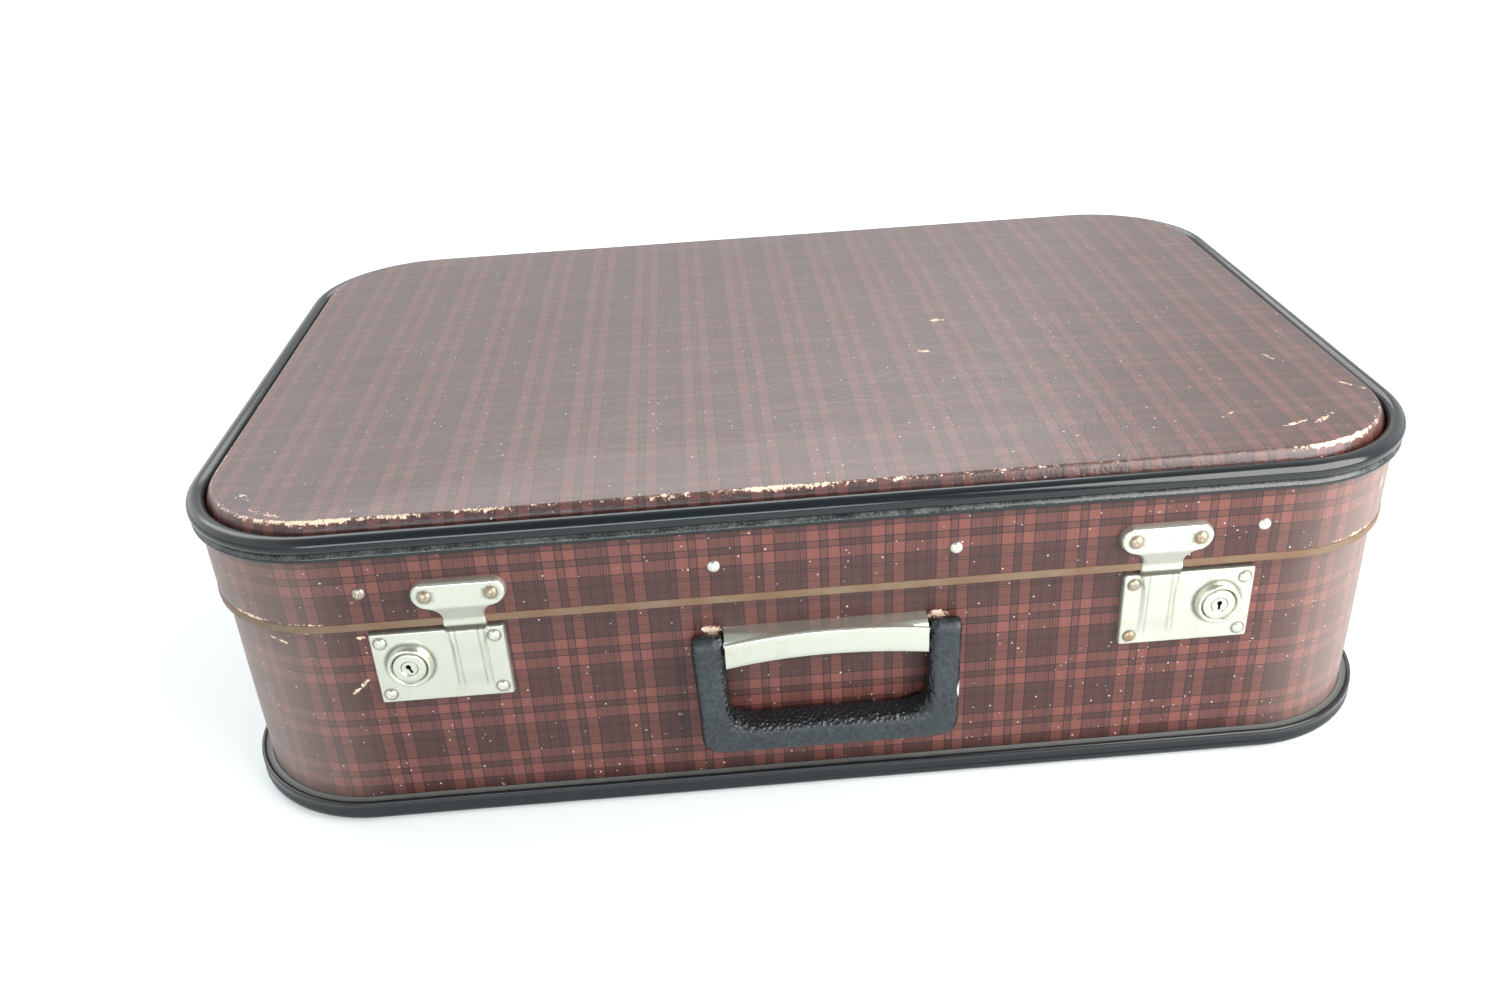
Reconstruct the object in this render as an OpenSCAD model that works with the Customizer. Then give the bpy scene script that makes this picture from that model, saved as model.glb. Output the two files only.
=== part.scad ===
// Old fibreboard suitcase with a hinged lid, two push-button locks and a swing handle.
// Origin on the floor under the middle of the base, +X to the right, +Y to the hinges, +Z up, millimetres.

/* [Case] */
// Width over the bindings
case_w = 600; // [560:5:680]
// Depth over the bindings, without the handle
case_d = 400; // [360:5:460]
// Corner radius of the bindings in plan
corner_r = 74; // [66:1:84]
// Height of the lid's lower edge above the floor
lid_edge_z = 114.5; // [112:0.5:126]
// Height of the lid's wall
lid_wall_h = 43.5; // [41:0.5:56]
// Thickness of the fibreboard walls
wall_t = 2.4; // [2.2:0.1:2.8]
// Gap between the tray's rim and the lid's wall
rim_gap = 0.6; // [0.5:0.05:0.8]
// Height of the tray's rim inside the lid
rim_overlap = 12; // [9:0.5:13]
// Height of the stop band inside the lid
band_h = 18; // [16:0.5:22]

/* [Panels and bindings] */
// Thickness of the pressed panels
panel_t = 2.4; // [2:0.1:3]
// How far the bindings stand proud of the lid's wall
binding_proud = 4; // [3.5:0.1:4.5]
// Radius of the fat bead on the lid binding
bead_r = 4.5; // [4:0.1:5]
// Height of the lid panel's shoulder
lid_rise = 8.6; // [7:0.1:10]
// Crown of the lid panel above its shoulder
lid_crown = 2.5; // [1:0.1:4]
// Height of the base panel's shoulder
base_rise = 4; // [3.4:0.1:6]
// Thickness of the lining paper
lining_t = 0.5; // [0.3:0.05:0.8]
// Thickness of the tape on the lid's lower edge
tape_t = 0.35; // [0.2:0.05:0.4]
// Height of the tape on the lid's lower edge
tape_h = 3.7; // [3:0.1:7]

/* [Locks] */
// Distance of each lock plate's middle from the middle of the case
lock_x = 179; // [160:1:195]
// Width of a lock plate
lock_w = 64; // [62:0.5:70]
// Height of a lock plate
lock_h = 40.5; // [39:0.5:46]
// Distance of the button and of the hasp from the middle of the lock plate
lock_off = 14.5; // [13.5:0.25:15.5]
// Radius of the push button
button_r = 7.9; // [7.4:0.1:8.4]
// Travel of the push button
button_travel = 2.5; // [2:0.1:2.8]
// Radius of the key plug
plug_r = 4; // [3.6:0.1:4.4]
// Turn of the left and right keyholes from upright, at rest
keyhole_turn = [25, 0];
// Thickness of the hasp's sheet
hasp_t = 1.2; // [1:0.05:1.3]
// Height of the hasp's pressed end over the lid's wall
hasp_h = 4.2; // [3:0.1:5]
// Spacing of a hasp's two rivets
hasp_rivet_pitch = 30.4; // [28:0.2:33]

/* [Handle] */
// Offset of the handle from the middle of the front
handle_x = 4; // [-10:1:10]
// Width over the handle
handle_w = 130; // [120:1:150]
// Height of the handle, from its lower edge to its axle
handle_drop = 58.5; // [52:0.5:64]
// Width of a handle leg and height of the grip bar
leg_w = 15.5; // [14:0.5:17]
// Depth of the grip bar, front to back
bar_depth = 16; // [14:0.5:18]
// Distance of the axle from the tray's wall
axle_off = 6; // [5.8:0.1:6.6]
// Radius of the axle
axle_r = 2; // [1.6:0.1:2.2]
// Height of the axle below the lid's lower edge
axle_drop = 22.5; // [20:0.5:25]

/* [Hinges and stays] */
// Distance of each hinge from the middle of the back
hinge_x = 165; // [120:5:190]
// Width of a hinge
hinge_w = 46; // [42:1:60]
// Radius of the hinge pins
pin_r = 0.9; // [0.8:0.05:1]
// Outer radius of the hinge knuckles
knuckle_r = 1.7; // [1.6:0.05:1.7]
// Distance of the stay pins from the hinge axis
stay_reach = 70; // [69:0.5:71]
// Height of the lid's stay pins above the hinge axis
stay_lift = 20; // [19:0.5:21]
// Depth of the tray's stay pins below the hinge axis
stay_drop = 7; // [6.5:0.5:8]
// Widest angle of the lid
lid_open = 95; // [90:1:96]

/* [Hidden] */
$fn = 48;

// Gap of parts that are glued or riveted together
glue_gap = 0.05;
// Gap of parts that slide or turn on each other
run_gap = 0.3;
// Gap of a pin in its bore
pin_gap = 0.05;
half_w = case_w / 2;
half_d = case_d / 2;
lid_in = binding_proud + wall_t;
tray_out = lid_in + rim_gap;
tray_in = tray_out + wall_t;
// Distance of the lid's outer face from the tray's outer face
lid_step = wall_t + rim_gap;
base_flange_top = base_rise + panel_t;
rim_top_z = lid_edge_z + rim_overlap;
band_z = rim_top_z + run_gap;
lid_flange_z = lid_edge_z + lid_wall_h;
lid_flange_top = lid_flange_z + panel_t;

// Pressed panels: inset from the case's edge and height above the flange
lid_fold = 2 * bead_r + 0.4;
lid_fold_run = 3.8;
base_fold = tray_out + 5.5;
base_fold_run = 5;
arc_steps = 8;
smallest_r = 6;

// Profiles of the bindings: insets from the case's edge and heights from the flange
lip_r = 1.1;
base_bead_r = 3.3;
base_bead_in = 3.9;
base_bead_y = 0.8;
base_skirt_in = 1.4;
base_skirt_h = 7.4;
base_flap_in = 2.5;
base_flap_t = 2.3;
lid_bead_y = 1.1;
lid_skirt_in = 1.2;
lid_skirt_h = 5.8;
groove_in = 0.6;
groove_y = -2.7;
groove_r = 0.9;

lock_z = lid_edge_z - 3.25 - lock_h / 2;
plate_t = 1;
// Height of the pressed lock plate over the tray's wall
plate_h = 2.8;
key_y = 2;
collar_h = 4.2;
nail_x = lock_w / 2 - 5.2;
nail_y = lock_h / 2 - 5.5;
nail_r = 1.2;
pocket_h = 1.6;
// Lock layers behind the tray's outer face
case_front = wall_t + 2 * glue_gap + lining_t + glue_gap;
case_depth = 9.2;
works_w = 48;
works_h = 30;
works_t = 0.8;
button_back = 1.9;
catch_t = 1.5;
cam_t = 1;
nose_w = 4;
nose_h = 3.6;
nose_len = 4.3;
// Half widths of the lock plate's pocket, from its mouth down
mouth_half = 9.8;
pocket_half = 7.4;
pocket_low_half = 6.9;
pocket_end_half = 5.4;
pocket_mouth_y = 11.5;
pocket_low_y = -11;
pocket_end_y = -12.8;
plate_corner = 1.5;
// Hasp layers in front of the tray's outer face
hasp_back = lid_step + tape_t + glue_gap;
tongue_back = 0.8;
tongue_len = 24.5;
hasp_rivet_y = 18;
hasp_end_r = 6.8;
// Heights over the lid's edge where the hasp starts to slope out and where its face starts
hasp_slope_y = 3.5;
hasp_face_y = 11.5;
hasp_hollow = 20;
neck_half = 10;
neck_fillet = 8.5;
// Window in the hasp's tongue that takes the catch
window_y = -18;
window_h = 5;
window_w = 5.2;

rivet_r = 1.5;
rivet_y = 20;
front_rivets = [-210, -47, 66, 211];
back_rivets = [-225, -80, 80, 225];
// Side rivets' distances from the front and back edges of the case
side_rivet_front = 105;
side_rivet_back = 130;
side_rivets = [side_rivet_front - half_d, 0, half_d - side_rivet_back];
lid_grip = wall_t + rim_gap + wall_t;

axle_z = lid_edge_z - axle_drop;
handle_back = 0.6;
bracket_half = handle_w / 2 - leg_w - 0.8;
bracket_t = 1.2;
bracket_depth = 10;
bracket_top = axle_z + 6.5;
bracket_h = 18;
arch_h = 4;
handle_rivet_drop = 7.5;
handle_corner = 20;
handle_taper = 2;
backing_h = 16;
backing_t = 1;
grip_round = 5;
grip_chamfer = 3;

hinge_off = lid_step + tape_t + glue_gap + knuckle_r;
leaf_t = 0.9;
knuckle_gap = 3 * pin_gap + 0.15;
mid_half = hinge_w / 6;
leaf_h = 22;
leaf_rivet_x = hinge_w / 2 - 7;
leaf_rivet_y = 17;

stay_up = asin(stay_lift / stay_reach);
stay_down = asin(stay_drop / stay_reach);
stay_tilt = (stay_up - stay_down) / 2;
stay_lid_y = half_d - tray_out + hinge_off - stay_reach * cos(stay_up);
stay_tray_y = half_d - tray_out + hinge_off - stay_reach * cos(stay_down);
stay_near = 2 * stay_reach * sin((stay_up + stay_down) / 2);
stay_far = 2 * stay_reach * sin((stay_up + stay_down + lid_open) / 2);
stay_in = 22;
stay_t = 1.4;
stay_w = 10;
stay_end = 2;
stay_pin_r = 2;
stay_head_r = 3.8;
stay_head_t = 1;
stay_plate_t = 1.3;
stay_plate_h = 12;
stay_plate_end = 6;
stay_foot = 20;
stay_foot_y = half_d - corner_r - 31;
stay_joggle = 10;
stay_rivet_pitch = 10;

board = "#7c332e";
binding_black = "#1b1b1d";
nickel = "#cfccc4";
paper = "#c9bfa8";
steel = "#a9aaab";

module outline(inset) {
    w = case_w - 2 * inset;
    d = case_d - 2 * inset;
    r = corner_r - inset;
    union() {
        square([w - 2 * r, d], center = true);
        square([w, d - 2 * r], center = true);
        for (sx = [-1, 1]) {
            for (sy = [-1, 1]) {
                translate([sx * (w / 2 - r), sy * (d / 2 - r)]) circle(r);
            }
        }
    }
}

module ring_wall(inset, t, z0, z1) {
    translate([0, 0, z0]) linear_extrude(z1 - z0) difference() {
        outline(inset);
        outline(inset + t);
    }
}

// Runs a profile of inset and height around the edge of the case
module edge_run(w, d, r) {
    for (q = [0 : 3]) {
        sx = q == 0 || q == 3 ? 1 : -1;
        sy = q < 2 ? 1 : -1;
        translate([sx * (w / 2 - r), sy * (d / 2 - r), 0]) rotate([0, 0, 90 * q])
            rotate_extrude(angle = 90) translate([r, 0]) mirror([1, 0]) children();
        run = q % 2 == 0 ? w - 2 * r : d - 2 * r;
        out = q % 2 == 0 ? d / 2 : w / 2;
        rotate([0, 0, 90 * q]) translate([-run / 2, -out, 0]) rotate([90, 0, 90])
            linear_extrude(run) children();
    }
}

function loop_points(inset, z) = [
    for (q = [0 : 3])
    for (s = [0 : arc_steps])
    let (r = max(corner_r - inset, smallest_r), a = 90 * q + 90 * s / arc_steps,
        cx = (q == 0 || q == 3 ? 1 : -1) * (half_w - inset - r),
        cy = (q < 2 ? 1 : -1) * (half_d - inset - r))
    [cx + r * cos(a), cy + r * sin(a), z]
];

// Pressed sheet that follows a list of inset and height, with thickness t below it
module pressed_sheet(steps, t) {
    n = len(steps);
    m = 4 * (arc_steps + 1);
    top = [for (s = steps) each loop_points(s[0], s[1] + t)];
    low = [for (s = steps) each loop_points(s[0], s[1])];
    b = n * m;
    polyhedron(points = concat(top, low), faces = concat(
        [for (i = [0 : n - 2]) for (j = [0 : m - 1])
            [i * m + j, (i + 1) * m + j, (i + 1) * m + (j + 1) % m]],
        [for (i = [0 : n - 2]) for (j = [0 : m - 1])
            [i * m + j, (i + 1) * m + (j + 1) % m, i * m + (j + 1) % m]],
        [for (i = [0 : n - 2]) for (j = [0 : m - 1])
            [b + i * m + j, b + (i + 1) * m + (j + 1) % m, b + (i + 1) * m + j]],
        [for (i = [0 : n - 2]) for (j = [0 : m - 1])
            [b + i * m + j, b + i * m + (j + 1) % m, b + (i + 1) * m + (j + 1) % m]],
        [for (j = [0 : m - 1]) [j, (j + 1) % m, b + (j + 1) % m]],
        [for (j = [0 : m - 1]) [j, b + (j + 1) % m, b + j]],
        [[for (j = [0 : m - 1]) (n - 1) * m + m - 1 - j]],
        [[for (j = [0 : m - 1]) b + (n - 1) * m + j]]));
}

function lid_steps(first) = [
    [first, 0],
    [lid_fold, 0],
    [lid_fold + 0.25 * lid_fold_run, 0.45 * lid_rise],
    [lid_fold + 0.6 * lid_fold_run, 0.85 * lid_rise],
    [lid_fold + lid_fold_run, lid_rise],
    [lid_fold + lid_fold_run + 10, lid_rise + 0.25 * lid_crown],
    [lid_fold + lid_fold_run + 45, lid_rise + 0.75 * lid_crown],
    [lid_fold + lid_fold_run + 110, lid_rise + lid_crown]];

function base_steps(first) = [
    [first, 0],
    [base_fold, 0],
    [base_fold + 0.3 * base_fold_run, 0.45 * base_rise],
    [base_fold + 0.65 * base_fold_run, 0.85 * base_rise],
    [base_fold + base_fold_run, base_rise]];

// Frames on the walls: local x along the wall, y up from the lid's lower edge, z outward from the tray
module front(x, y = 0) {
    translate([x, tray_out - half_d, lid_edge_z + y]) rotate([90, 0, 0]) children();
}

module back(x, y = 0) {
    translate([x, half_d - tray_out, lid_edge_z + y]) rotate([90, 0, 180]) children();
}

module right(along, y = 0) {
    translate([half_w - tray_out, along, lid_edge_z + y]) rotate([90, 0, 90]) children();
}

module left(along, y = 0) {
    translate([tray_out - half_w, along, lid_edge_z + y]) rotate([90, 0, -90]) children();
}

module other_side(s) {
    if (s < 0) {
        mirror([1, 0, 0]) children();
    } else {
        children();
    }
}

// Domed rivet: head from z outward, shank inward by its grip, with a clinched end
module rivet(z, grip, shank, head_r, head_h) {
    dome_r = (head_r * head_r + head_h * head_h) / (2 * head_h);
    translate([0, 0, z]) {
        rotate_extrude() intersection() {
            translate([0, head_h - dome_r]) circle(dome_r, $fn = 96);
            square([head_r, head_h]);
        }
        translate([0, 0, -grip - 0.7]) cylinder(h = grip + 0.7 + 0.1, r = shank);
        translate([0, 0, -grip - 0.7]) cylinder(h = 0.65, r = shank + 0.9);
    }
}

module hole(shank) {
    translate([0, 0, -20]) cylinder(h = 40, r = shank + glue_gap);
}

module at_front_rivets() {
    for (x = front_rivets) {
        front(x, rivet_y) children();
    }
}

module at_other_rivets() {
    for (x = back_rivets) {
        back(x, rivet_y) children();
    }
    for (along = side_rivets) {
        left(along, rivet_y) children();
        right(along, rivet_y) children();
    }
}

module at_hasp_rivets(s) {
    for (side = [-1, 1]) {
        front(s * (lock_x - lock_off) + side * hasp_rivet_pitch / 2, hasp_rivet_y) children();
    }
}

module at_leaf_rivets(y) {
    for (s = [-1, 1]) {
        for (side = [-1, 1]) {
            back(s * hinge_x + side * leaf_rivet_x, y) children();
        }
    }
}

module at_stay_rivets(y) {
    for (along = [stay_foot_y - stay_rivet_pitch / 2, stay_foot_y + stay_rivet_pitch / 2]) {
        left(along, y) children();
        right(along, y) children();
    }
}

module at_handle_rivets() {
    for (side = [-1, 1]) {
        front(handle_x + side * 0.62 * bracket_half, axle_z - lid_edge_z - handle_rivet_drop)
            children();
    }
}

module at_nails(s) {
    for (sx = [-1, 1]) {
        for (sy = [-1, 1]) {
            front(s * lock_x + sx * nail_x, lock_z - lid_edge_z + sy * nail_y) children();
        }
    }
}

module lid_holes() {
    at_front_rivets() hole(rivet_r);
    at_other_rivets() hole(rivet_r);
    at_hasp_rivets(-1) hole(rivet_r);
    at_hasp_rivets(1) hole(rivet_r);
    at_leaf_rivets(leaf_rivet_y) hole(rivet_r);
    at_stay_rivets(stay_lift) hole(rivet_r);
}

module lock_opening(s) {
    w = works_w + 2;
    h = works_h - 2;
    front(s * lock_x, lock_z - lid_edge_z) translate([-w / 2, -h / 2, -20]) cube([w, h, 40]);
}

module tray_holes() {
    for (s = [-1, 1]) {
        at_nails(s) hole(nail_r);
        lock_opening(s);
    }
    at_leaf_rivets(-leaf_rivet_y) hole(rivet_r);
    at_stay_rivets(-stay_drop) hole(rivet_r);
    at_handle_rivets() hole(rivet_r);
}

// Fibreboard wall of the lower half
module tray_wall() {
    color(board) difference() {
        ring_wall(tray_out, wall_t, base_flange_top, rim_top_z);
        tray_holes();
    }
}

// Pressed base panel, standing on its flat middle
module base_panel() {
    color(board) translate([0, 0, base_flange_top]) mirror([0, 0, 1])
        pressed_sheet(base_steps(tray_out), panel_t);
}

// Binding that folds the base panel to the wall
module base_binding() {
    color(binding_black) translate([0, 0, base_rise]) edge_run(case_w, case_d, corner_r) difference() {
        union() {
            translate([base_bead_in, base_bead_y]) circle(base_bead_r);
            translate([base_skirt_in, 0]) square([tray_out - base_skirt_in, base_skirt_h]);
            translate([base_skirt_in + 0.5, base_skirt_h]) circle(lip_r);
            translate([base_flap_in, -base_flap_t]) square([base_fold - 0.6 - base_flap_in, base_flap_t]);
        }
        translate([tray_out, 0]) square([20, 30]);
    }
}

// Paper glued to the inside of the base panel
module tray_floor_lining() {
    color(paper) translate([0, 0, base_flange_top + glue_gap + lining_t]) mirror([0, 0, 1])
        pressed_sheet(base_steps(tray_in + glue_gap), lining_t);
}

// Paper glued to the inside of the tray's wall
module tray_wall_lining() {
    color(paper) difference() {
        ring_wall(tray_in + glue_gap, lining_t, base_flange_top + lining_t + 3 * glue_gap, rim_top_z - 2);
        tray_holes();
    }
}

// Fibreboard wall of the lid
module lid_wall() {
    color(board) difference() {
        ring_wall(binding_proud, wall_t, lid_edge_z, lid_flange_z);
        lid_holes();
    }
}

// Pressed lid panel with its raised, slightly crowned middle
module lid_panel() {
    color(board) translate([0, 0, lid_flange_z]) pressed_sheet(lid_steps(binding_proud), panel_t);
}

// Binding with a fat bead, a groove and a small lip
module lid_binding() {
    color(binding_black) translate([0, 0, lid_flange_top]) edge_run(case_w, case_d, corner_r) difference() {
        union() {
            translate([bead_r, lid_bead_y]) circle(bead_r);
            translate([lid_skirt_in, -lid_skirt_h]) square([binding_proud - lid_skirt_in, lid_skirt_h]);
            translate([lid_skirt_in + 0.4, -lid_skirt_h]) circle(lip_r);
        }
        translate([binding_proud, -30]) square([20, 30]);
        translate([groove_in, groove_y]) circle(groove_r);
    }
}

// Tape folded around the lid's lower edge
module lid_edge_tape() {
    outer = binding_proud - tape_t - glue_gap;
    color("#9c6a3e") {
        ring_wall(outer, tape_t, lid_edge_z - glue_gap, lid_edge_z + tape_h);
        ring_wall(outer, wall_t + 2 * tape_t, lid_edge_z - tape_t, lid_edge_z - glue_gap);
    }
}

// Band inside the lid that rests on the tray's rim
module lid_stop_band() {
    color(paper) difference() {
        ring_wall(lid_in + glue_gap, tray_in - lid_in - glue_gap, band_z, band_z + band_h);
        lid_holes();
    }
}

// Rivets that hold the stop band, all around the lid
module lid_rivets() {
    color(nickel) {
        at_front_rivets() rivet(lid_step, lid_grip, rivet_r, 3.1, 1.9);
        at_other_rivets() rivet(lid_step, lid_grip, rivet_r, 3.1, 1.9);
    }
}

// Paper glued to the inside of the lid panel
module lid_top_lining() {
    color(paper) translate([0, 0, lid_flange_z - glue_gap - lining_t])
        pressed_sheet(lid_steps(lid_in + glue_gap), lining_t);
}

// Paper glued to the lid's wall above the stop band
module lid_wall_lining() {
    color(paper) ring_wall(lid_in + glue_gap, lining_t, band_z + band_h + glue_gap,
        lid_flange_z - lining_t - 3 * glue_gap);
}

// Pocket's outline, drawn in by the thickness of its sheet for the hollow
module pocket_shape(edge) {
    side = [[mouth_half - edge, lock_h / 2], [pocket_half - edge, pocket_mouth_y],
        [pocket_low_half - edge, pocket_low_y], [pocket_end_half - 0.8 * edge, pocket_end_y + edge]];
    polygon(concat(side, [for (i = [len(side) - 1 : -1 : 0]) [-side[i][0], side[i][1]]]));
}

// Pressed plate with a raised pocket for the hasp's tongue
module lock_plate(s) {
    color(nickel) difference() {
        front(s * lock_x, lock_z - lid_edge_z) other_side(s) difference() {
            union() {
                linear_extrude(plate_h) {
                    square([lock_w - 2 * plate_corner, lock_h], center = true);
                    square([lock_w, lock_h - 2 * plate_corner], center = true);
                    for (sx = [-1, 1]) {
                        for (sy = [-1, 1]) {
                            translate([sx * (lock_w / 2 - plate_corner), sy * (lock_h / 2 - plate_corner)])
                                circle(plate_corner);
                        }
                    }
                }
                translate([-lock_off, 0, 0]) linear_extrude(plate_h + pocket_h) pocket_shape(0);
            }
            translate([plate_t - lock_w / 2, plate_t - lock_h / 2, -1])
                cube([lock_w - 2 * plate_t, lock_h - 2 * plate_t, plate_h - plate_t + 1]);
            translate([-lock_off, 0, -1]) linear_extrude(plate_h + pocket_h - plate_t + 1) {
                pocket_shape(plate_t);
                translate([plate_t - mouth_half, lock_h / 2 - plate_t - 1])
                    square([2 * mouth_half - 2 * plate_t, plate_t + 3]);
            }
            translate([lock_off, key_y, -1]) cylinder(h = plate_h + 2, r = button_r + run_gap);
        }
        at_nails(s) hole(nail_r);
    }
}

// Collar around the button
module lock_collar(s) {
    color(nickel) front(s * (lock_x + lock_off), lock_z - lid_edge_z + key_y) translate([0, 0, plate_h])
        rotate_extrude() polygon([[button_r + run_gap, 0], [button_r + 3.2, 0], [button_r + 2.8, 1],
            [button_r + 2.5, collar_h - 1], [button_r + 1.8, collar_h], [button_r + run_gap, collar_h]]);
}

// Four domed nails that clinch the plate and the case to the wall
module lock_nails(s) {
    color(nickel) at_nails(s) rivet(plate_h, plate_h + case_front + 1, nail_r, 2.8, 1.6);
}

// Case inside the tray that covers the lock's works
module lock_case(s) {
    color(steel) difference() {
        front(s * lock_x, lock_z - lid_edge_z) difference() {
            union() {
                translate([-lock_w / 2, -lock_h / 2, -case_front - 1]) cube([lock_w, lock_h, 1]);
                translate([-works_w / 2, -works_h / 2, -case_depth])
                    cube([works_w, works_h, case_depth - case_front]);
            }
            translate([works_t - works_w / 2, works_t - works_h / 2, works_t - case_depth])
                cube([works_w - 2 * works_t, works_h - 2 * works_t, case_depth]);
        }
        at_nails(s) hole(nail_r);
    }
}

// Push button with a bore for the key plug
module lock_button(s) {
    color(nickel) front(s * (lock_x + lock_off), lock_z - lid_edge_z + key_y) difference() {
        translate([0, 0, -button_back]) cylinder(h = button_back + plate_h + collar_h - 0.2, r = button_r);
        translate([0, 0, -5]) cylinder(h = 20, r = plug_r + pin_gap);
    }
}

// Sliding catch behind the plate, with a nose through the hasp's window
module lock_catch(s) {
    color(steel) front(s * lock_x, lock_z - lid_edge_z) other_side(s) difference() {
        union() {
            translate([-lock_off - 3, -5, -button_back - catch_t]) cube([2 * lock_off + 8, 14, catch_t]);
            translate([-lock_off - nose_w / 2, lid_edge_z + window_y - lock_z - nose_h / 2, -button_back])
                cube([nose_w, nose_h, nose_len]);
        }
        translate([lock_off, key_y, -10]) cylinder(h = 20, r = 2.3);
    }
}

// Bowed leaf spring between the catch and the case
module button_spring(s) {
    rise = case_depth - works_t - button_back - catch_t - 2 * glue_gap;
    half = 9;
    bow_r = (half * half + rise * rise) / (2 * rise);
    color(steel) front(s * lock_x - 4, lock_z - lid_edge_z + key_y)
        translate([0, 4, glue_gap + works_t - case_depth + rise - bow_r]) rotate([90, 0, 0])
        linear_extrude(8) intersection() {
            difference() {
                circle(bow_r, $fn = 96);
                circle(bow_r - 0.5, $fn = 96);
            }
            translate([-half, bow_r - rise]) square([2 * half, rise + 1]);
        }
}

// Key plug with its keyhole, and a cam behind the catch
module key_plug(s) {
    turn = s < 0 ? keyhole_turn[0] : keyhole_turn[1];
    cam_z = -button_back - catch_t - cam_t - 0.5;
    color(steel) front(s * (lock_x + lock_off), lock_z - lid_edge_z + key_y) rotate([0, 0, turn]) {
        difference() {
            union() {
                translate([0, 0, -button_back + 0.1])
                    cylinder(h = button_back + plate_h + collar_h - 0.2, r = plug_r);
                translate([0, 0, cam_z]) cylinder(h = catch_t + 2, r = 2);
            }
            translate([0, 1.1, 1]) cylinder(h = 20, r = 1.3);
            translate([-0.7, -2.8, 1]) cube([1.4, 4, 20]);
        }
        translate([-4.5, -1.5, cam_z]) cube([9, 3, cam_t]);
    }
}

function arc(x, y, r, a0, a1, steps) = [
    for (i = [0 : steps])
    let (a = a0 + (a1 - a0) * i / steps)
    [x + r * cos(a), y + r * sin(a)]
];

// Outline of the hasp: round ends at its rivets, hollow fillets to the neck, and the tongue
module hasp_front() {
    end_x = hasp_rivet_pitch / 2;
    fillet_x = neck_half + neck_fillet;
    fillet_y = hasp_rivet_y - sqrt(pow(hasp_end_r + neck_fillet, 2) - pow(fillet_x - end_x, 2));
    meet = atan2(fillet_y - hasp_rivet_y, fillet_x - end_x);
    edge = concat(arc(end_x, hasp_rivet_y, hasp_end_r, 90, meet, 14),
        arc(fillet_x, fillet_y, neck_fillet, 180 + meet, 180, 8),
        [[8.2, -3], [5.5, -10.5], [5.2, 1.5 - tongue_len], [4.2, -tongue_len]]);
    difference() {
        polygon(concat(edge, [for (i = [len(edge) - 1 : -1 : 0]) [-edge[i][0], edge[i][1]]]));
        translate([-window_w / 2, window_y - window_h / 2]) square([window_w, window_h]);
    }
}

// Hasp with two round ends, stepped back below the lid's edge to its tongue
module hasp(s) {
    color(nickel) difference() {
        front(s * (lock_x - lock_off)) intersection() {
            linear_extrude(10) hasp_front();
            translate([-30, 0, 0]) rotate([90, 0, 90]) linear_extrude(60)
                polygon([[30, hasp_back], [-0.6, hasp_back], [tongue_back - hasp_back - 0.6, tongue_back],
                    [-30, tongue_back], [-30, tongue_back + hasp_t],
                    [tongue_back - hasp_back - 1.1, tongue_back + hasp_t], [-1.1, hasp_back + hasp_t],
                    [hasp_slope_y, hasp_back + hasp_t], [hasp_face_y, hasp_back + hasp_h],
                    [30, hasp_back + hasp_h]]);
        }
        front(s * (lock_x - lock_off)) translate([-hasp_hollow / 2, hasp_face_y, 0])
            cube([hasp_hollow, hasp_rivet_y + hasp_end_r - hasp_t - hasp_face_y, hasp_back + hasp_h - hasp_t]);
        at_hasp_rivets(s) hole(rivet_r);
    }
}

module hasp_rivets(s) {
    color("#a88a5a") at_hasp_rivets(s)
        rivet(hasp_back + hasp_h, lid_grip + hasp_back + hasp_h - lid_step, rivet_r, 3.3, 1.8);
}

// Outline of the handle from the front, with its legs running past the axle
module grip_front() {
    inner = handle_w / 2 - leg_w;
    inner_r = handle_corner - leg_w;
    difference() {
        hull() {
            for (side = [-1, 1]) {
                translate([side * (handle_w / 2 - handle_taper - handle_corner), handle_corner - handle_drop])
                    circle(handle_corner);
            }
            translate([-handle_w / 2, 0]) square([handle_w, 10]);
        }
        hull() {
            for (side = [-1, 1]) {
                translate([side * (inner - inner_r), handle_corner - handle_drop]) circle(inner_r);
            }
            translate([-inner, 0]) square([2 * inner, 20]);
        }
    }
}

// Outline of the handle from the side, in heights and distances from the tray
module grip_side() {
    front_out = handle_back + bar_depth - grip_round;
    hull() {
        translate([0, axle_off]) circle(axle_off - handle_back);
        translate([handle_corner - handle_drop, front_out]) circle(grip_round);
        translate([grip_round - handle_drop, front_out]) circle(grip_round);
        translate([grip_round - handle_drop, handle_back + grip_round]) circle(grip_round);
    }
}

// Section over both legs, with the long edges of the handle taken off
module grip_edges() {
    half = handle_w / 2 + 1;
    low = handle_back - 1;
    high = handle_back + bar_depth + 1;
    cut = grip_chamfer + 2;
    polygon([[cut - half, low], [half - cut, low], [half, low + cut], [half, high - cut],
        [half - cut, high], [cut - half, high], [-half, high - cut], [-half, low + cut]]);
}

// Moulded handle: two legs on the axle and a grip bar
module handle_grip() {
    color("#17171a") front(handle_x, axle_z - lid_edge_z) difference() {
        intersection() {
            linear_extrude(bar_depth + 10) grip_front();
            translate([-handle_w, 0, 0]) rotate([90, 0, 90]) linear_extrude(2 * handle_w) grip_side();
            translate([0, 20, 0]) rotate([90, 0, 0]) linear_extrude(handle_drop + 40) grip_edges();
        }
        translate([3.5 - handle_w / 2, 0, axle_off]) rotate([0, 90, 0])
            cylinder(h = handle_w - 7, r = axle_r + pin_gap);
    }
}

// Axle pressed into the handle's legs
module handle_axle() {
    color(steel) front(handle_x, axle_z - lid_edge_z) translate([4 - handle_w / 2, 0, axle_off])
        rotate([0, 90, 0]) cylinder(h = handle_w - 8, r = axle_r);
}

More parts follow.
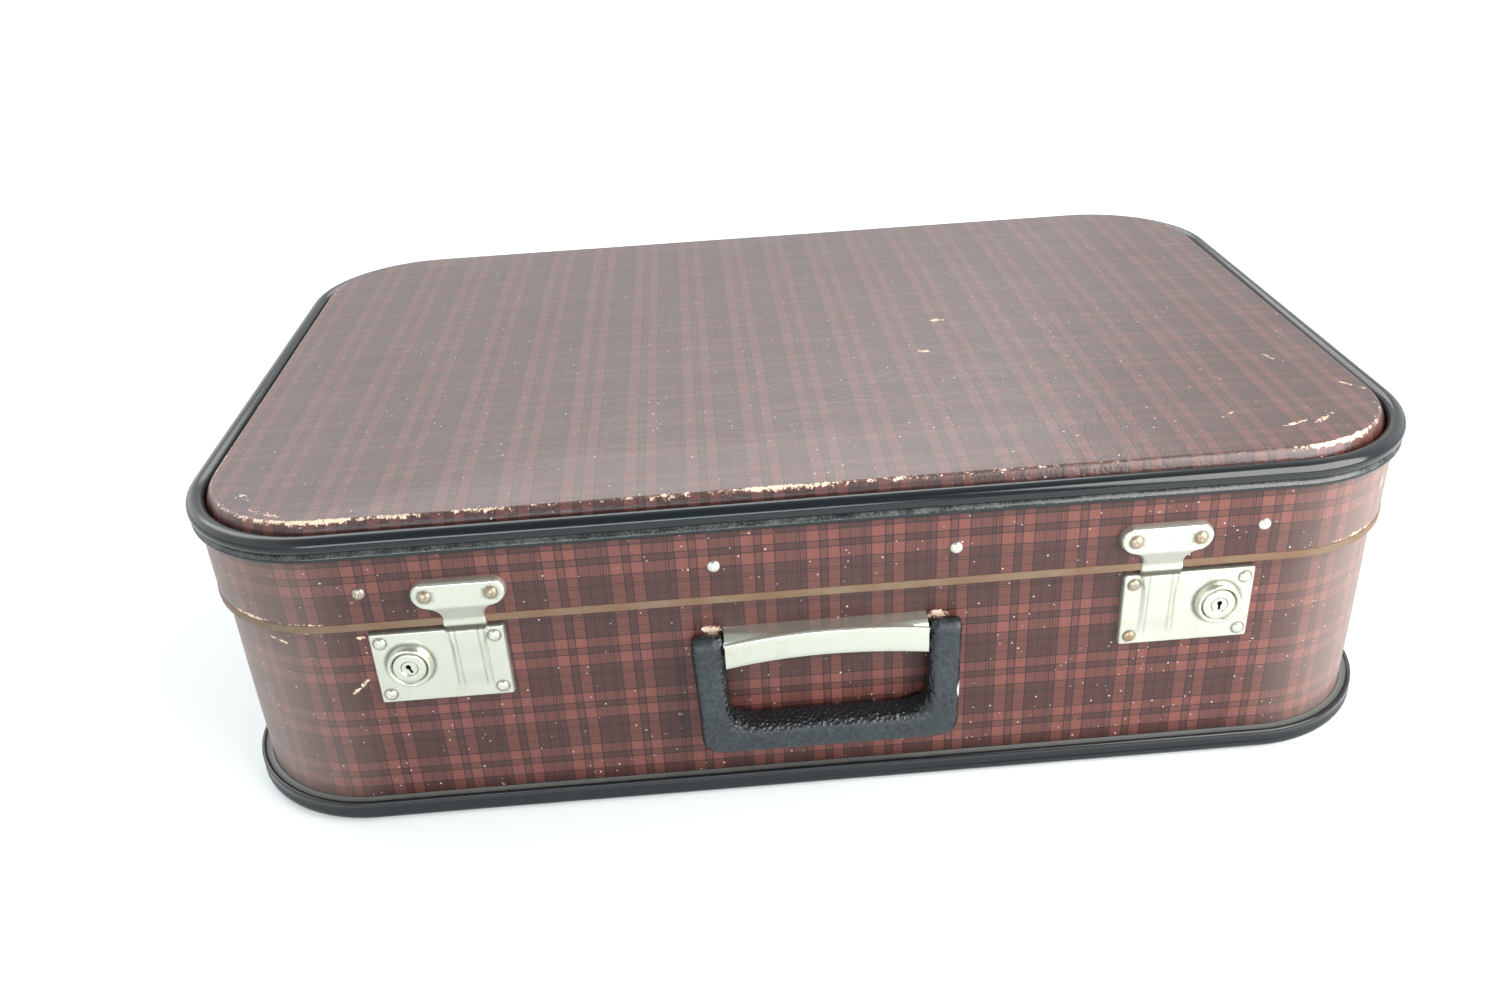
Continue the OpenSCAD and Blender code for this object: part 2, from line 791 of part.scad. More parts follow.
// Folded bracket over the axle, with two ears that carry it and an arched lower edge
module handle_bracket() {
    top = bracket_top - axle_z;
    low = top - bracket_h;
    arch_r = (bracket_half * bracket_half + arch_h * arch_h) / (2 * arch_h);
    color(nickel) difference() {
        front(handle_x, axle_z - lid_edge_z) {
            translate([-bracket_half, low - 2, 0]) cube([2 * bracket_half, bracket_h + 2, bracket_t]);
            translate([-bracket_half, top - bracket_t, 0]) cube([2 * bracket_half, bracket_t, bracket_depth]);
            difference() {
                translate([-bracket_half, low, bracket_depth - bracket_t])
                    cube([2 * bracket_half, bracket_h, bracket_t]);
                translate([0, low + arch_h - arch_r, 0]) cylinder(h = 30, r = arch_r, $fn = 200);
            }
            for (side = [-1, 1]) {
                translate([side * (bracket_half - 1) - 1, -axle_r - 2.4, 0])
                    cube([2, top + axle_r + 2.4, bracket_depth]);
            }
        }
        front(handle_x, axle_z - lid_edge_z) translate([-handle_w / 2, 0, axle_off]) rotate([0, 90, 0])
            cylinder(h = handle_w, r = axle_r + pin_gap);
        at_handle_rivets() hole(rivet_r);
    }
}

module handle_rivets() {
    color(nickel) at_handle_rivets()
        rivet(bracket_t, bracket_t + case_front + 1, rivet_r, 3, 1.4);
}

// Strip inside the tray that spreads the pull of the handle
module handle_backing_plate() {
    color(steel) difference() {
        front(handle_x, axle_z - lid_edge_z - handle_rivet_drop)
            translate([-bracket_half, -backing_h / 2, -case_front - backing_t])
                cube([2 * bracket_half, backing_h, backing_t]);
        at_handle_rivets() hole(rivet_r);
    }
}

// Leaf on the tray, cranked out to the hinge axis, with two knuckles
module hinge_tray_leaf(s) {
    color(nickel) difference() {
        back(s * hinge_x) {
            translate([-hinge_w / 2, -leaf_h - 4, 0]) cube([hinge_w, leaf_h - 3, leaf_t]);
            for (side = [-1, 1]) {
                translate([side > 0 ? mid_half + knuckle_gap : -hinge_w / 2, 0, 0]) rotate([90, 0, 90])
                    linear_extrude(hinge_w / 2 - mid_half - knuckle_gap) difference() {
                        union() {
                            translate([0, hinge_off]) circle(knuckle_r);
                            polygon([[-8, 0], [-6.2, 0], [-1, hinge_off - 1], [-1, hinge_off + 1],
                                [-1.7, hinge_off], [-8, leaf_t]]);
                        }
                        translate([0, hinge_off]) circle(pin_r + pin_gap);
                    }
            }
        }
        at_leaf_rivets(-leaf_rivet_y) hole(rivet_r);
    }
}

// Leaf on the lid with the middle knuckle
module hinge_lid_leaf(s) {
    leaf_back = hinge_off - knuckle_r;
    color(nickel) difference() {
        back(s * hinge_x) {
            translate([-hinge_w / 2, 2.4, leaf_back]) cube([hinge_w, leaf_h, leaf_t]);
            translate([-mid_half, 0, 0]) rotate([90, 0, 90]) linear_extrude(2 * mid_half) difference() {
                union() {
                    translate([0, hinge_off]) circle(knuckle_r);
                    translate([0, leaf_back]) square([2.6, leaf_t]);
                }
                translate([0, hinge_off]) circle(pin_r + pin_gap);
            }
        }
        at_leaf_rivets(leaf_rivet_y) hole(rivet_r);
    }
}

module hinge_pins() {
    color(steel) for (s = [-1, 1]) {
        back(s * hinge_x) translate([-hinge_w / 2 - 0.7, 0, hinge_off]) rotate([0, 90, 0]) {
            cylinder(h = hinge_w + 1.4, r = pin_r);
            cylinder(h = 0.6, r = pin_r + 0.5);
            translate([0, 0, hinge_w + 0.8]) cylinder(h = 0.6, r = pin_r + 0.5);
        }
    }
}

module hinge_tray_rivets() {
    color(nickel) at_leaf_rivets(-leaf_rivet_y)
        rivet(leaf_t, leaf_t + case_front, rivet_r, 3, 1.5);
}

module hinge_lid_rivets() {
    leaf_front = hinge_off - knuckle_r + leaf_t;
    color(nickel) at_leaf_rivets(leaf_rivet_y)
        rivet(leaf_front, leaf_front - lid_step + lid_grip, rivet_r, 3, 1.5);
}

// Slotted arm that holds the lid open, riveted to the lid and sliding on a pin in the tray
module stay_arm(s) {
    color(steel) other_side(s) translate([half_w - stay_in - stay_t, stay_lid_y, lid_edge_z + stay_lift])
        rotate([90, 0, 90]) linear_extrude(stay_t) rotate(-stay_tilt) difference() {
            union() {
                circle(stay_w / 2);
                translate([0, -stay_far - stay_end]) circle(stay_w / 2);
                translate([-stay_w / 2, -stay_far - stay_end]) square([stay_w, stay_far + stay_end]);
            }
            circle(stay_pin_r + pin_gap);
            translate([0, 1 - stay_near]) circle(stay_pin_r + run_gap);
            translate([0, -stay_far - 1]) circle(stay_pin_r + run_gap);
            translate([-stay_pin_r - run_gap, -stay_far - 1])
                square([2 * (stay_pin_r + run_gap), stay_far - stay_near + 2]);
        }
}

// Joggled bracket with a foot on the wall and a pin near the start of the corner
module stay_bracket(lift, wall_gap, pin_y) {
    foot = tray_in + wall_gap;
    plate = stay_in - stay_plate_t - run_gap;
    foot_front = stay_foot_y - stay_foot / 2;
    foot_back = stay_foot_y + stay_foot / 2;
    plate_back = pin_y + stay_plate_end;
    translate([half_w, 0, lid_edge_z + lift]) {
        translate([0, 0, -stay_plate_h / 2]) linear_extrude(stay_plate_h)
            polygon([[-foot, foot_front], [-foot, foot_back], [-plate, foot_back + stay_joggle],
                [-plate, plate_back], [-plate - stay_plate_t, plate_back],
                [-plate - stay_plate_t, foot_back + stay_joggle - 0.5],
                [-foot - stay_plate_t, foot_back - 0.5],
                [-foot - stay_plate_t, foot_front]]);
        translate([-plate - 1, pin_y, 0]) rotate([0, -90, 0])
            cylinder(h = stay_in + stay_t + run_gap - plate, r = stay_pin_r);
        translate([-stay_in - stay_t - run_gap, pin_y, 0]) rotate([0, -90, 0])
            cylinder(h = stay_head_t, r = stay_head_r);
    }
}

module stay_lid_brackets() {
    color(steel) difference() {
        for (s = [-1, 1]) {
            other_side(s) stay_bracket(stay_lift, glue_gap, stay_lid_y);
        }
        at_stay_rivets(stay_lift) hole(rivet_r);
    }
}

module stay_tray_brackets() {
    color(steel) difference() {
        for (s = [-1, 1]) {
            other_side(s) stay_bracket(-stay_drop, lining_t + 2 * glue_gap, stay_tray_y);
        }
        at_stay_rivets(-stay_drop) hole(rivet_r);
    }
}

module stay_lid_rivets() {
    color(nickel) at_stay_rivets(stay_lift)
        rivet(lid_step, lid_grip + glue_gap + stay_plate_t, rivet_r, 2.8, 1.5);
}

module stay_tray_rivets() {
    color(nickel) at_stay_rivets(-stay_drop)
        rivet(0, case_front + stay_plate_t, rivet_r, 2.8, 1.5);
}

tray_wall();
base_panel();
base_binding();
tray_floor_lining();
tray_wall_lining();
lid_wall();
lid_panel();
lid_binding();
lid_edge_tape();
lid_stop_band();
lid_rivets();
lid_top_lining();
lid_wall_lining();
lock_plate(-1);  // lock_plate_left
lock_plate(1);  // lock_plate_right
lock_collar(-1);  // lock_collar_left
lock_collar(1);  // lock_collar_right
lock_nails(-1);  // lock_nails_left
lock_nails(1);  // lock_nails_right
lock_case(-1);  // lock_case_left
lock_case(1);  // lock_case_right
lock_button(-1);  // lock_button_left
lock_button(1);  // lock_button_right
lock_catch(-1);  // lock_catch_left
lock_catch(1);  // lock_catch_right
button_spring(-1);  // button_spring_left
button_spring(1);  // button_spring_right
key_plug(-1);  // key_plug_left
key_plug(1);  // key_plug_right
hasp(-1);  // hasp_left
hasp(1);  // hasp_right
hasp_rivets(-1);  // hasp_rivets_left
hasp_rivets(1);  // hasp_rivets_right
handle_grip();
handle_axle();
handle_bracket();
handle_rivets();
handle_backing_plate();
hinge_tray_leaf(-1);  // hinge_tray_leaf_left
hinge_tray_leaf(1);  // hinge_tray_leaf_right
hinge_lid_leaf(-1);  // hinge_lid_leaf_left
hinge_lid_leaf(1);  // hinge_lid_leaf_right
hinge_pins();
hinge_tray_rivets();
hinge_lid_rivets();
stay_arm(-1);  // stay_arm_left
stay_arm(1);  // stay_arm_right
stay_lid_brackets();
stay_tray_brackets();
stay_lid_rivets();
stay_tray_rivets();
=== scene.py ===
import math

import bmesh
import bpy
from mathutils import Matrix, Vector, noise


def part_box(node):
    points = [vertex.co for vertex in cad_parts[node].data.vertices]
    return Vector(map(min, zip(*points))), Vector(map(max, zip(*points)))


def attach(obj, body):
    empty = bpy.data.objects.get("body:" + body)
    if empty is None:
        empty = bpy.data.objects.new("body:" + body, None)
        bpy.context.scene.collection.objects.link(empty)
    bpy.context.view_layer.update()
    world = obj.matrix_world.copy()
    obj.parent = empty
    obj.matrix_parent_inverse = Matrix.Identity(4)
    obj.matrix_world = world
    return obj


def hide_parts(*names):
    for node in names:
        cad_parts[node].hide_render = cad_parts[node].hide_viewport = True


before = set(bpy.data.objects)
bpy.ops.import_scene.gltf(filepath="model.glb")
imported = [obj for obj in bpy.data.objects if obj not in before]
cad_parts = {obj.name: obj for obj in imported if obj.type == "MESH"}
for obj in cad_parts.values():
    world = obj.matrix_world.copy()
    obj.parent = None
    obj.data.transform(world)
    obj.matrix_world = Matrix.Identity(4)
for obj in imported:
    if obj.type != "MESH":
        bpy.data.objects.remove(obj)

bl_info = {
    "name": "Vintage Suitcase",
    "version": (1, 0, 0),
    "blender": (4, 5, 0),
    "location": "3D View > Sidebar > Suitcase",
    "description": "Dresses the suitcase's solids with worn tartan, bindings, locks and a handle",
    "category": "Object",
}

MM = 0.001
SIDES = ("left", "right")

# Thickness of the boards, and the crown's rise above the lid panel's ridge, in millimetres
BOARD = 2.4
CROWN_RISE = 2.5

# The case's outline: points on its sides and corners, and the inset at which lengths along it are measured
LONG_POINTS = 64
SHORT_POINTS = 40
CORNER_POINTS = 18
SMALLEST_RADIUS = 6.0
MAP_INSET = 5.5

# The tartan's repeat: from and to in millimetres from its start, the last line from its end
RED_BANDS = ((0.25, 5.9), (10.1, 15.2))
DARK_LINES = ((6.0, 6.5), (9.5, 10.0), (15.35, 15.85), (20.35, 20.65), (25.625, 25.975), (27.0, 27.4))
LAST_LINE = (0.525, 0.075)
HATCH_PITCH = 1.25

# Worn spots of the tartan: middle, half length, half width, slant in degrees and strength
TRAY_MARKS = (
    (-50.0, 97.0, 7.0, 3.4, 0, 0.78), (58.5, 96.0, 7.5, 3.2, 0, 0.80), (-213.0, 97.0, 11.0, 1.3, 90, 0.55),
    (-220.0, 80.0, 9.5, 1.3, 42, 0.75), (-256.0, 106.0, 9.0, 1.2, -12, 0.72),
    (-246.0, 112.0, 14.0, 1.2, 0, 0.6), (4.0, 74.0, 46.0, 16.0, 0, 0.30), (-214.0, 108.0, 4.0, 1.4, 0, 0.7),
    (40.0, 104.0, 60.0, 8.0, 0, 0.2), (160.0, 66.0, 60.0, 30.0, 0, 0.16))
LID_MARKS = (
    (-268.0, 119.0, 16.0, 1.4, 0, 0.72), (-238.0, 118.6, 16.0, 1.0, 0, 0.66),
    (262.0, 119.0, 22.0, 1.2, 0, 0.7), (281.0, 140.0, 6.0, 1.6, 80, 0.7), (-210.0, 134.5, 8.0, 5.0, 0, 0.3),
    (226.0, 140.0, 18.0, 9.0, 0, 0.3), (-10.0, 121.0, 60.0, 2.0, 0, 0.3))
TOP_MARKS = (
    (92.4, -2.8, 6.5, 2.6, -8, 0.74), (77.3, -47.5, 4.5, 3.2, 0, 0.72), (280.0, -124.0, 12.0, 1.4, -50, 0.66),
    (255.0, -84.0, 6.0, 1.2, -70, 0.66), (-265.0, -157.0, 10.0, 2.0, -55, 0.62),
    (206.0, -151.0, 8.0, 1.8, 35, 0.6), (234.0, -164.0, 10.0, 1.8, 20, 0.62),
    (250.0, -160.0, 16.0, 2.2, 40, 0.60), (-250.0, -176.0, 16.0, 2.2, -30, 0.62),
    (60.0, 20.0, 150.0, 100.0, 0, 0.13), (-150.0, -175.0, 60.0, 6.0, 0, 0.2))

# Worn spots of the lid panel's ridge: running length, half width and strength
RIDGE_SPOTS = (
    (-170, 95, 0.30), (90, 60, 0.16), (-268, 14, 0.22), (-246, 16, 0.2), (-218, 9, 0.2), (-185, 10, 0.16),
    (-26, 22, 0.42), (8, 14, 0.36), (40, 10, 0.3), (232, 16, 0.3), (256, 18, 0.42), (284, 16, 0.34),
    (-345, 40, 0.3), (610, 22, 0.5), (-600, 18, 0.45), (-710, 34, 0.55), (-765, 14, 0.4))

# Worn spots of the edge tape: running length and half width
TAPE_SPOTS = ((-268, 26), (-205, 30), (250, 35), (290, 20))

# Colours of dirt and wear. The pale corners, the grey haze and the dull plastic's pale are partly painted
# sheen, and the metal's grime is partly painted shade
HAZE_GREY = (0.20, 0.18, 0.17)
PALE_CORNER = (0.46, 0.36, 0.32)
RUBBED_PRINT = (0.17, 0.075, 0.05)
PALE_BOARD = (0.72, 0.58, 0.49)
SPECK_CREAM = (0.66, 0.56, 0.48)
SCRAPE_GREY = (0.24, 0.23, 0.21)
TARNISH_SHARE = (0.86, 0.80, 0.60)
METAL_GRIME_AND_SHADE = (0.085, 0.070, 0.050)
OLD_NICKEL = (0.42, 0.36, 0.29)
SCUFF_GREY = (0.16, 0.16, 0.16)
DULL_DARK = (0.010, 0.015, 0.018)
DULL_PALE = (0.036, 0.046, 0.051)
CHIP_WHITE = (0.60, 0.62, 0.62)
TAPE_FADED = (0.18, 0.125, 0.078)
TAPE_DIRT = (0.07, 0.035, 0.022)
TAPE_BARE = (0.66, 0.50, 0.27)
PAPER_STAIN = (0.30, 0.22, 0.13)


def edges(node, axis):
    """A solid's lowest and highest place along an axis at rest."""
    k = "xyz".index(axis)
    return [corner[k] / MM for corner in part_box(node)]


def lowest(node, axis):
    return edges(node, axis)[0]


def highest(node, axis):
    return edges(node, axis)[1]


def halfway(node, axis):
    return sum(edges(node, axis)) / 2


def extent(node, axis):
    return highest(node, axis) - lowest(node, axis)


def length(name, description, default):
    """A size that a user would change; its default is in millimetres here."""
    return bpy.props.FloatProperty(name=name, description=description, default=default * MM, unit="LENGTH")


def tint(name, description, default):
    """A colour that a user would change."""
    return bpy.props.FloatVectorProperty(
        name=name, description=description, default=default, subtype="COLOR", size=3)


class SuitcaseSizes(bpy.types.PropertyGroup):
    """Sizes of the dressed pieces, taken from the part's solids."""

    case_width: length("Case width", "Width over the bindings", extent("lid_binding", "x"))
    case_depth: length("Case depth", "Depth over the bindings", extent("lid_binding", "y"))
    corner_radius: length("Corner radius", "Radius of the bindings in plan", 74.0)
    lid_edge: length("Lid edge", "Height of the lid's lower edge", lowest("lid_wall", "z"))
    lid_flange: length("Lid flange", "Height of the lid panel's flange", lowest("lid_panel", "z") + BOARD)
    lid_ridge: length("Lid ridge", "Height of the panel's ridge", highest("lid_panel", "z") - CROWN_RISE)
    lock_offset: length("Lock offset", "Distance from the case's middle", halfway("lock_plate_right", "x"))
    handle_width: length("Handle width", "Width over the handle's legs", extent("handle_grip", "x"))
    handle_offset: length("Handle offset", "Distance from the case's middle", halfway("handle_grip", "x"))


class SuitcaseColours(bpy.types.PropertyGroup):
    """Base colours of the finishes."""

    ground: tint("Tartan ground", "Dark maroon of the tartan's blocks", (0.068, 0.021, 0.017))
    red: tint("Tartan red", "Red where two bands of the tartan cross", (0.190, 0.058, 0.046))
    line: tint("Tartan line", "Near black of the tartan's thin lines", (0.012, 0.008, 0.009))
    board: tint("Bare board", "Cream of the board under torn paper", (0.74, 0.56, 0.38))
    binding: tint("Binding", "Black of the bindings", (0.006, 0.009, 0.011))
    dust_and_sheen: tint("Dust", "Grey dust in the bindings' folds", (0.24, 0.25, 0.23))
    tape: tint("Edge tape", "Brown of the tape on the lid's edge", (0.16, 0.086, 0.045))
    nickel: tint("Nickel", "Worn nickel plating", (0.66, 0.67, 0.59))
    rust: tint("Rust", "Rust on bare metal", (0.26, 0.12, 0.05))
    steel: tint("Steel", "Plain steel of the inner pieces", (0.52, 0.52, 0.52))
    plastic: tint("Handle plastic", "Black of the moulded handle", (0.008, 0.010, 0.012))
    paper: tint("Lining paper", "Aged paper inside the case", (0.52, 0.45, 0.34))


def math_method(operation, swapped=False):
    """A method of Value that adds one Math node; swapped puts the other value first."""

    def method(self, other=0.0):
        pair = (other, self) if swapped else (self, other)
        return self.graph.math(operation, *pair)

    return method


class Value:
    """Output of a shader node that takes part in Python arithmetic."""

    __add__ = __radd__ = math_method("ADD")
    __sub__ = math_method("SUBTRACT")
    __rsub__ = math_method("SUBTRACT", swapped=True)
    __mul__ = __rmul__ = math_method("MULTIPLY")
    __mod__ = math_method("FLOORED_MODULO")
    __rmod__ = math_method("FLOORED_MODULO", swapped=True)
    __pow__ = math_method("POWER")
    __rpow__ = math_method("POWER", swapped=True)
    __abs__ = math_method("ABSOLUTE")

    def __init__(self, graph, socket):
        self.graph = graph
        self.socket = socket

    def sibling(self, output):
        """Another output of the same node."""
        return Value(self.graph, self.socket.node.outputs[output])


class Graph:
    """Node tree of one material or world, built from expressions."""

    def __init__(self, name, store="materials"):
        self.owner = getattr(bpy.data, store).new(name)
        self.owner.use_nodes = True
        self.tree = self.owner.node_tree
        self.tree.nodes.clear()

    def feed(self, socket, value):
        """Links or sets a socket; a colour of three numbers gets its alpha."""
        if isinstance(value, Value):
            self.tree.links.new(value.socket, socket)
        elif socket.type == "RGBA" and len(value) == 3:
            socket.default_value = (*value, 1.0)
        else:
            socket.default_value = value

    def node(self, kind, settings=None, inputs=None, output=0):
        """Adds a node, with its settings first and then its sockets, and gives one output."""
        made = self.tree.nodes.new(kind)
        for key, value in (settings or {}).items():
            setattr(made, key, value)
        for key, value in (inputs or {}).items():
            self.feed(made.inputs[key], value)
        return Value(self, made.outputs[output]) if made.outputs else None

    def math(self, operation, a, b):
        return self.node("ShaderNodeMath", {"operation": operation}, {0: a, 1: b})

    def most(self, a, b):
        return self.math("MAXIMUM", a, b)

    def least(self, a, b):
        return self.math("MINIMUM", a, b)

    def ramp(self, value, low, high):
        """0 below low, 1 above high, smooth between; falls where low is above high."""
        settings = {"interpolation_type": "SMOOTHSTEP"}
        return self.node("ShaderNodeMapRange", settings, {0: value, 1: low, 2: high, 3: 0.0, 4: 1.0})

    def band(self, value, low, high, soft):
        """1 between low and high."""
        return self.ramp(value, low - soft, low + soft) * self.ramp(value, high + soft, high - soft)

    def mix(self, factor, a, b):
        return self.node("ShaderNodeMix", {"data_type": "RGBA"}, {0: factor, 6: a, 7: b}, 2)

    def position(self):
        """Object coordinates in millimetres."""
        vector = self.node("ShaderNodeTexCoord", output="Object")
        return self.node("ShaderNodeVectorMath", {"operation": "SCALE"}, {0: vector, "Scale": 1 / MM})

    def stretch(self, vector, factors):
        """A vector whose parts are each multiplied by a factor."""
        return self.node("ShaderNodeVectorMath", {"operation": "MULTIPLY"}, {0: vector, 1: factors})

    def parts(self, vector):
        """The x, y and z of a vector."""
        x = self.node("ShaderNodeSeparateXYZ", inputs={0: vector}, output="X")
        return x, x.sibling("Y"), x.sibling("Z")

    def rays(self):
        """1 for a ray from the camera, and 1 for a mirrored ray."""
        seen = self.node("ShaderNodeLightPath", output="Is Camera Ray")
        return seen, seen.sibling("Is Glossy Ray")

    def noise(self, vector, scale, detail=3.0, rough=0.55):
        inputs = {"Vector": vector, "Scale": scale, "Detail": detail, "Roughness": rough}
        return self.node("ShaderNodeTexNoise", inputs=inputs)

    def cells(self, vector, scale, feature="F1"):
        inputs = {"Vector": vector, "Scale": scale}
        return self.node("ShaderNodeTexVoronoi", {"feature": feature}, inputs, "Distance")

    def attribute(self, name):
        return self.node("ShaderNodeAttribute", {"attribute_name": name}, output="Fac")

    def bump(self, height, strength, distance):
        inputs = {"Strength": strength, "Distance": distance, "Height": height}
        return self.node("ShaderNodeBump", inputs=inputs)

    def finish(self, **inputs):
        """Closes the material with one Principled surface; keys are its inputs with _ for spaces."""
        named = {key.replace("_", " "): value for key, value in inputs.items()}
        surface = self.node("ShaderNodeBsdfPrincipled", inputs=named)
        self.node("ShaderNodeOutputMaterial", inputs={"Surface": surface})
        return self.owner


def stripes(graph, along, start, period):
    """Bands of one direction of the tartan: its two reds, its thin lines and its fine hatch."""
    t = (along - start) % period
    red = sum(graph.band(t, low, high, 0.25) for low, high in RED_BANDS)
    last = tuple(period - back for back in LAST_LINE)
    lines = sum(graph.band(t, low, high, 0.2) for low, high in (*DARK_LINES, last))
    wave = abs((t * (1 / HATCH_PITCH)) % 1.0 - 0.5)
    hatch = graph.ramp(wave, 0.34, 0.44) * graph.band(t, 16.2, period - 1.2, 0.3)
    return red, lines, hatch


def worn(graph, u, v, patches):
    """Wear from 0 to 1 of oval patches: middle, half length, half width, slant in degrees and strength."""
    total = 0.0
    for pu, pv, long, wide, slant, strength in patches:
        c, w = math.cos(math.radians(slant)), math.sin(math.radians(slant))
        du, dv = u - pu, v - pv
        along = (du * c + dv * w) * (1 / long)
        across = (dv * c - du * w) * (1 / wide)
        reach = graph.ramp(along * along + across * across, 1.6, 0.0) * strength
        total = graph.most(reach, total)
    return total


def tartan(name, colours, phase, periods, cross=1.0, haze=0.03, grain=0.10, roughness=0.40, strength=1.0,
           patches=(), rubbing_and_sheen=0.0, shine=0.5, flat=None, mapped=True):
    """Printed tartan paper on board, with worn spots down to the cream board.

    cross is the strength of the second direction, haze the share of a dusty grey that is partly painted sheen,
    grain the depth of the pebbling, strength the print's own and rubbing that of the pale corners, which are
    partly rubbed wear and partly painted sheen. flat is the height of a level top, where haze and a weaker
    print begin, both standing partly for painted sheen. mapped says whether the print follows the piece's
    own map or its object coordinates.
    """
    g = Graph(name)
    place = g.position()
    u, v, z = g.parts(place)
    if mapped:
        u, v, _ = g.parts(g.node("ShaderNodeUVMap", {"uv_map": "weave"}))
    sway = (g.noise(place, 0.03, 2.0) - 0.5) * 0.8
    red_u, line_u, hatch_u = stripes(g, u + sway, phase[0], periods[0])
    red_v, line_v, hatch_v = stripes(g, v + sway, phase[1], periods[1])
    level = g.ramp(z, flat - 3.0, flat) if flat else 1.0
    # On the level top the print is weakened, partly as painted sheen that washes it out
    fade = (0.72 + g.noise(place, 0.05, 3.0) * 0.5) * (1.0 - (1.0 - strength) * level)
    red = (red_u * 0.5 + red_v * (0.5 * cross)) * fade
    lines = g.least(line_u + line_v * cross, 1.0)
    hatch = hatch_u * 0.40 + hatch_v * (0.20 * cross)
    fibre = g.noise(g.stretch(place, (1.6, 1.6, 0.12)), 1.0, 3.0)
    colour = g.mix(red, colours.ground, colours.red)
    colour = g.mix(g.least(lines * 0.9 + hatch, 1.0), colour, colours.line)
    colour = g.mix(g.ramp(fibre, 0.35, 0.75) * 0.22, colour, colours.line)
    dirt_and_painted_light = g.noise(place, 0.018, 4.0)
    # Grey haze: dust, and on the level top partly painted sheen
    colour = g.mix((0.4 + dirt_and_painted_light * 1.2) * (haze * level), colour, HAZE_GREY)
    # Pale corners of the walls: rubbed wear, and partly painted sheen
    if rubbing_and_sheen:
        corner = g.ramp(abs(u), 205.0, 285.0) * g.ramp(abs(u), 385.0, 315.0) * rubbing_and_sheen
        colour = g.mix(corner * (0.55 + dirt_and_painted_light * 0.6), colour, PALE_CORNER)
    wear = g.most(g.attribute("wear"), worn(g, u, v, patches))
    ragged = g.noise(place, 0.28, 7.0, 0.72)
    flake = g.noise(place, 1.1, 4.0, 0.6)
    torn = wear + (ragged - 0.5) * 1.9 + (flake - 0.5) * 0.8
    rubbed = g.ramp(torn, 0.48, 0.60)
    bare = g.ramp(torn, 0.64, 0.70)
    colour = g.mix(rubbed * 0.6, colour, RUBBED_PRINT)
    colour = g.mix(bare, colour, g.mix(g.ramp(flake, 0.4, 0.7), colours.board, PALE_BOARD))
    for scale, size, share in ((0.2, 0.11, 0.74), (0.33, 0.12, 0.86)):
        cell = g.cells(place, scale)
        chance = g.node("ShaderNodeTexWhiteNoise", {"noise_dimensions": "3D"},
                        {"Vector": cell.sibling("Position")})
        edge = share + (0.12 if flat else 0.0) - wear * 0.55
        speck = g.ramp(cell + (flake - 0.5) * 0.08, size, size * 0.7) * g.ramp(chance - edge, 0.0, 0.01)
        colour = g.mix(speck * 0.85, colour, SPECK_CREAM)
    pebble = g.cells(place, 0.55, "SMOOTH_F1") * 0.7 + g.noise(place, 1.1, 3.0) * 0.5
    height = pebble * grain + g.noise(place, 0.12, 2.0) * (0.8 if flat else 0.25) - bare * 0.5
    gloss = roughness + (g.noise(place, 0.06, 4.0) - 0.5) * 0.16 + bare * 0.35 + rubbed * 0.03
    return g.finish(Base_Color=colour, Roughness=gloss, Specular_IOR_Level=shine,
                    Normal=g.bump(height, 0.35, 0.0006))


def binding_material(colours):
    """Glossy black binding with grey dust where the attribute says so."""
    g = Graph("binding_black")
    place = g.position()
    cloud = g.noise(place, 0.09, 5.0, 0.65)
    fine = g.noise(place, 0.9, 4.0, 0.7)
    grime_and_shade = g.ramp(g.attribute("dust_and_sheen") + (cloud - 0.5) * 0.9 + (fine - 0.5) * 0.8, 0.45, 1.0)
    colour = g.mix(grime_and_shade * 0.5, colours.binding, colours.dust_and_sheen)
    scrape = g.ramp(g.noise(place, 0.6, 5.0, 0.7), 0.70, 0.76)
    colour = g.mix(scrape * 0.4, colour, SCRAPE_GREY)
    gloss = 0.15 + grime_and_shade * 0.32 + (cloud - 0.5) * 0.06 + scrape * 0.25
    return g.finish(Base_Color=colour, Roughness=gloss, Specular_IOR_Level=0.55,
                    Normal=g.bump(cloud + fine * 0.2, 0.04, 0.0006))


def metal(name, colour, rust, rough, tarnish, rusty=False):
    """Plated or plain metal with scratches, tarnish and spots of rust."""
    g = Graph(name)
    place = g.position()
    cloud = g.noise(place, 0.11, 4.0, 0.6)
    fine = g.noise(place, 0.8, 4.0, 0.7)
    brush = g.noise(g.stretch(place, (0.2, 1.2, 2.6)), 1.0, 3.0)
    stain = g.ramp(cloud, 0.45, 0.75) * tarnish
    tone = g.mix(stain, colour, tuple(c * share for c, share in zip(colour, TARNISH_SHARE)))
    low, high, cover, dull = (0.52, 0.60, 0.85, 0.7) if rusty else (0.66, 0.72, 0.5, 0.4)
    spots = g.ramp(fine * 0.6 + cloud * 0.4, low, high)
    tone = g.mix(spots * cover, tone, rust)
    # The grime value darkens the metal: dirt, and painted shade in crevices and on the hasp's downward slope
    grime_and_shade = g.least(g.attribute("grime_and_shade") * (0.6 + fine * 0.8), 1.0)
    tone = g.mix(grime_and_shade * 0.85, tone, METAL_GRIME_AND_SHADE)
    gloss = rough + (cloud - 0.5) * 0.16 + (brush - 0.5) * 0.06 + spots * 0.3 + grime_and_shade * 0.2
    return g.finish(Base_Color=tone, Roughness=gloss, Metallic=0.84 - g.most(spots * dull, grime_and_shade * 0.4),
                    Normal=g.bump(g.noise(place, 0.06, 1.0), 0.06, 0.0005))


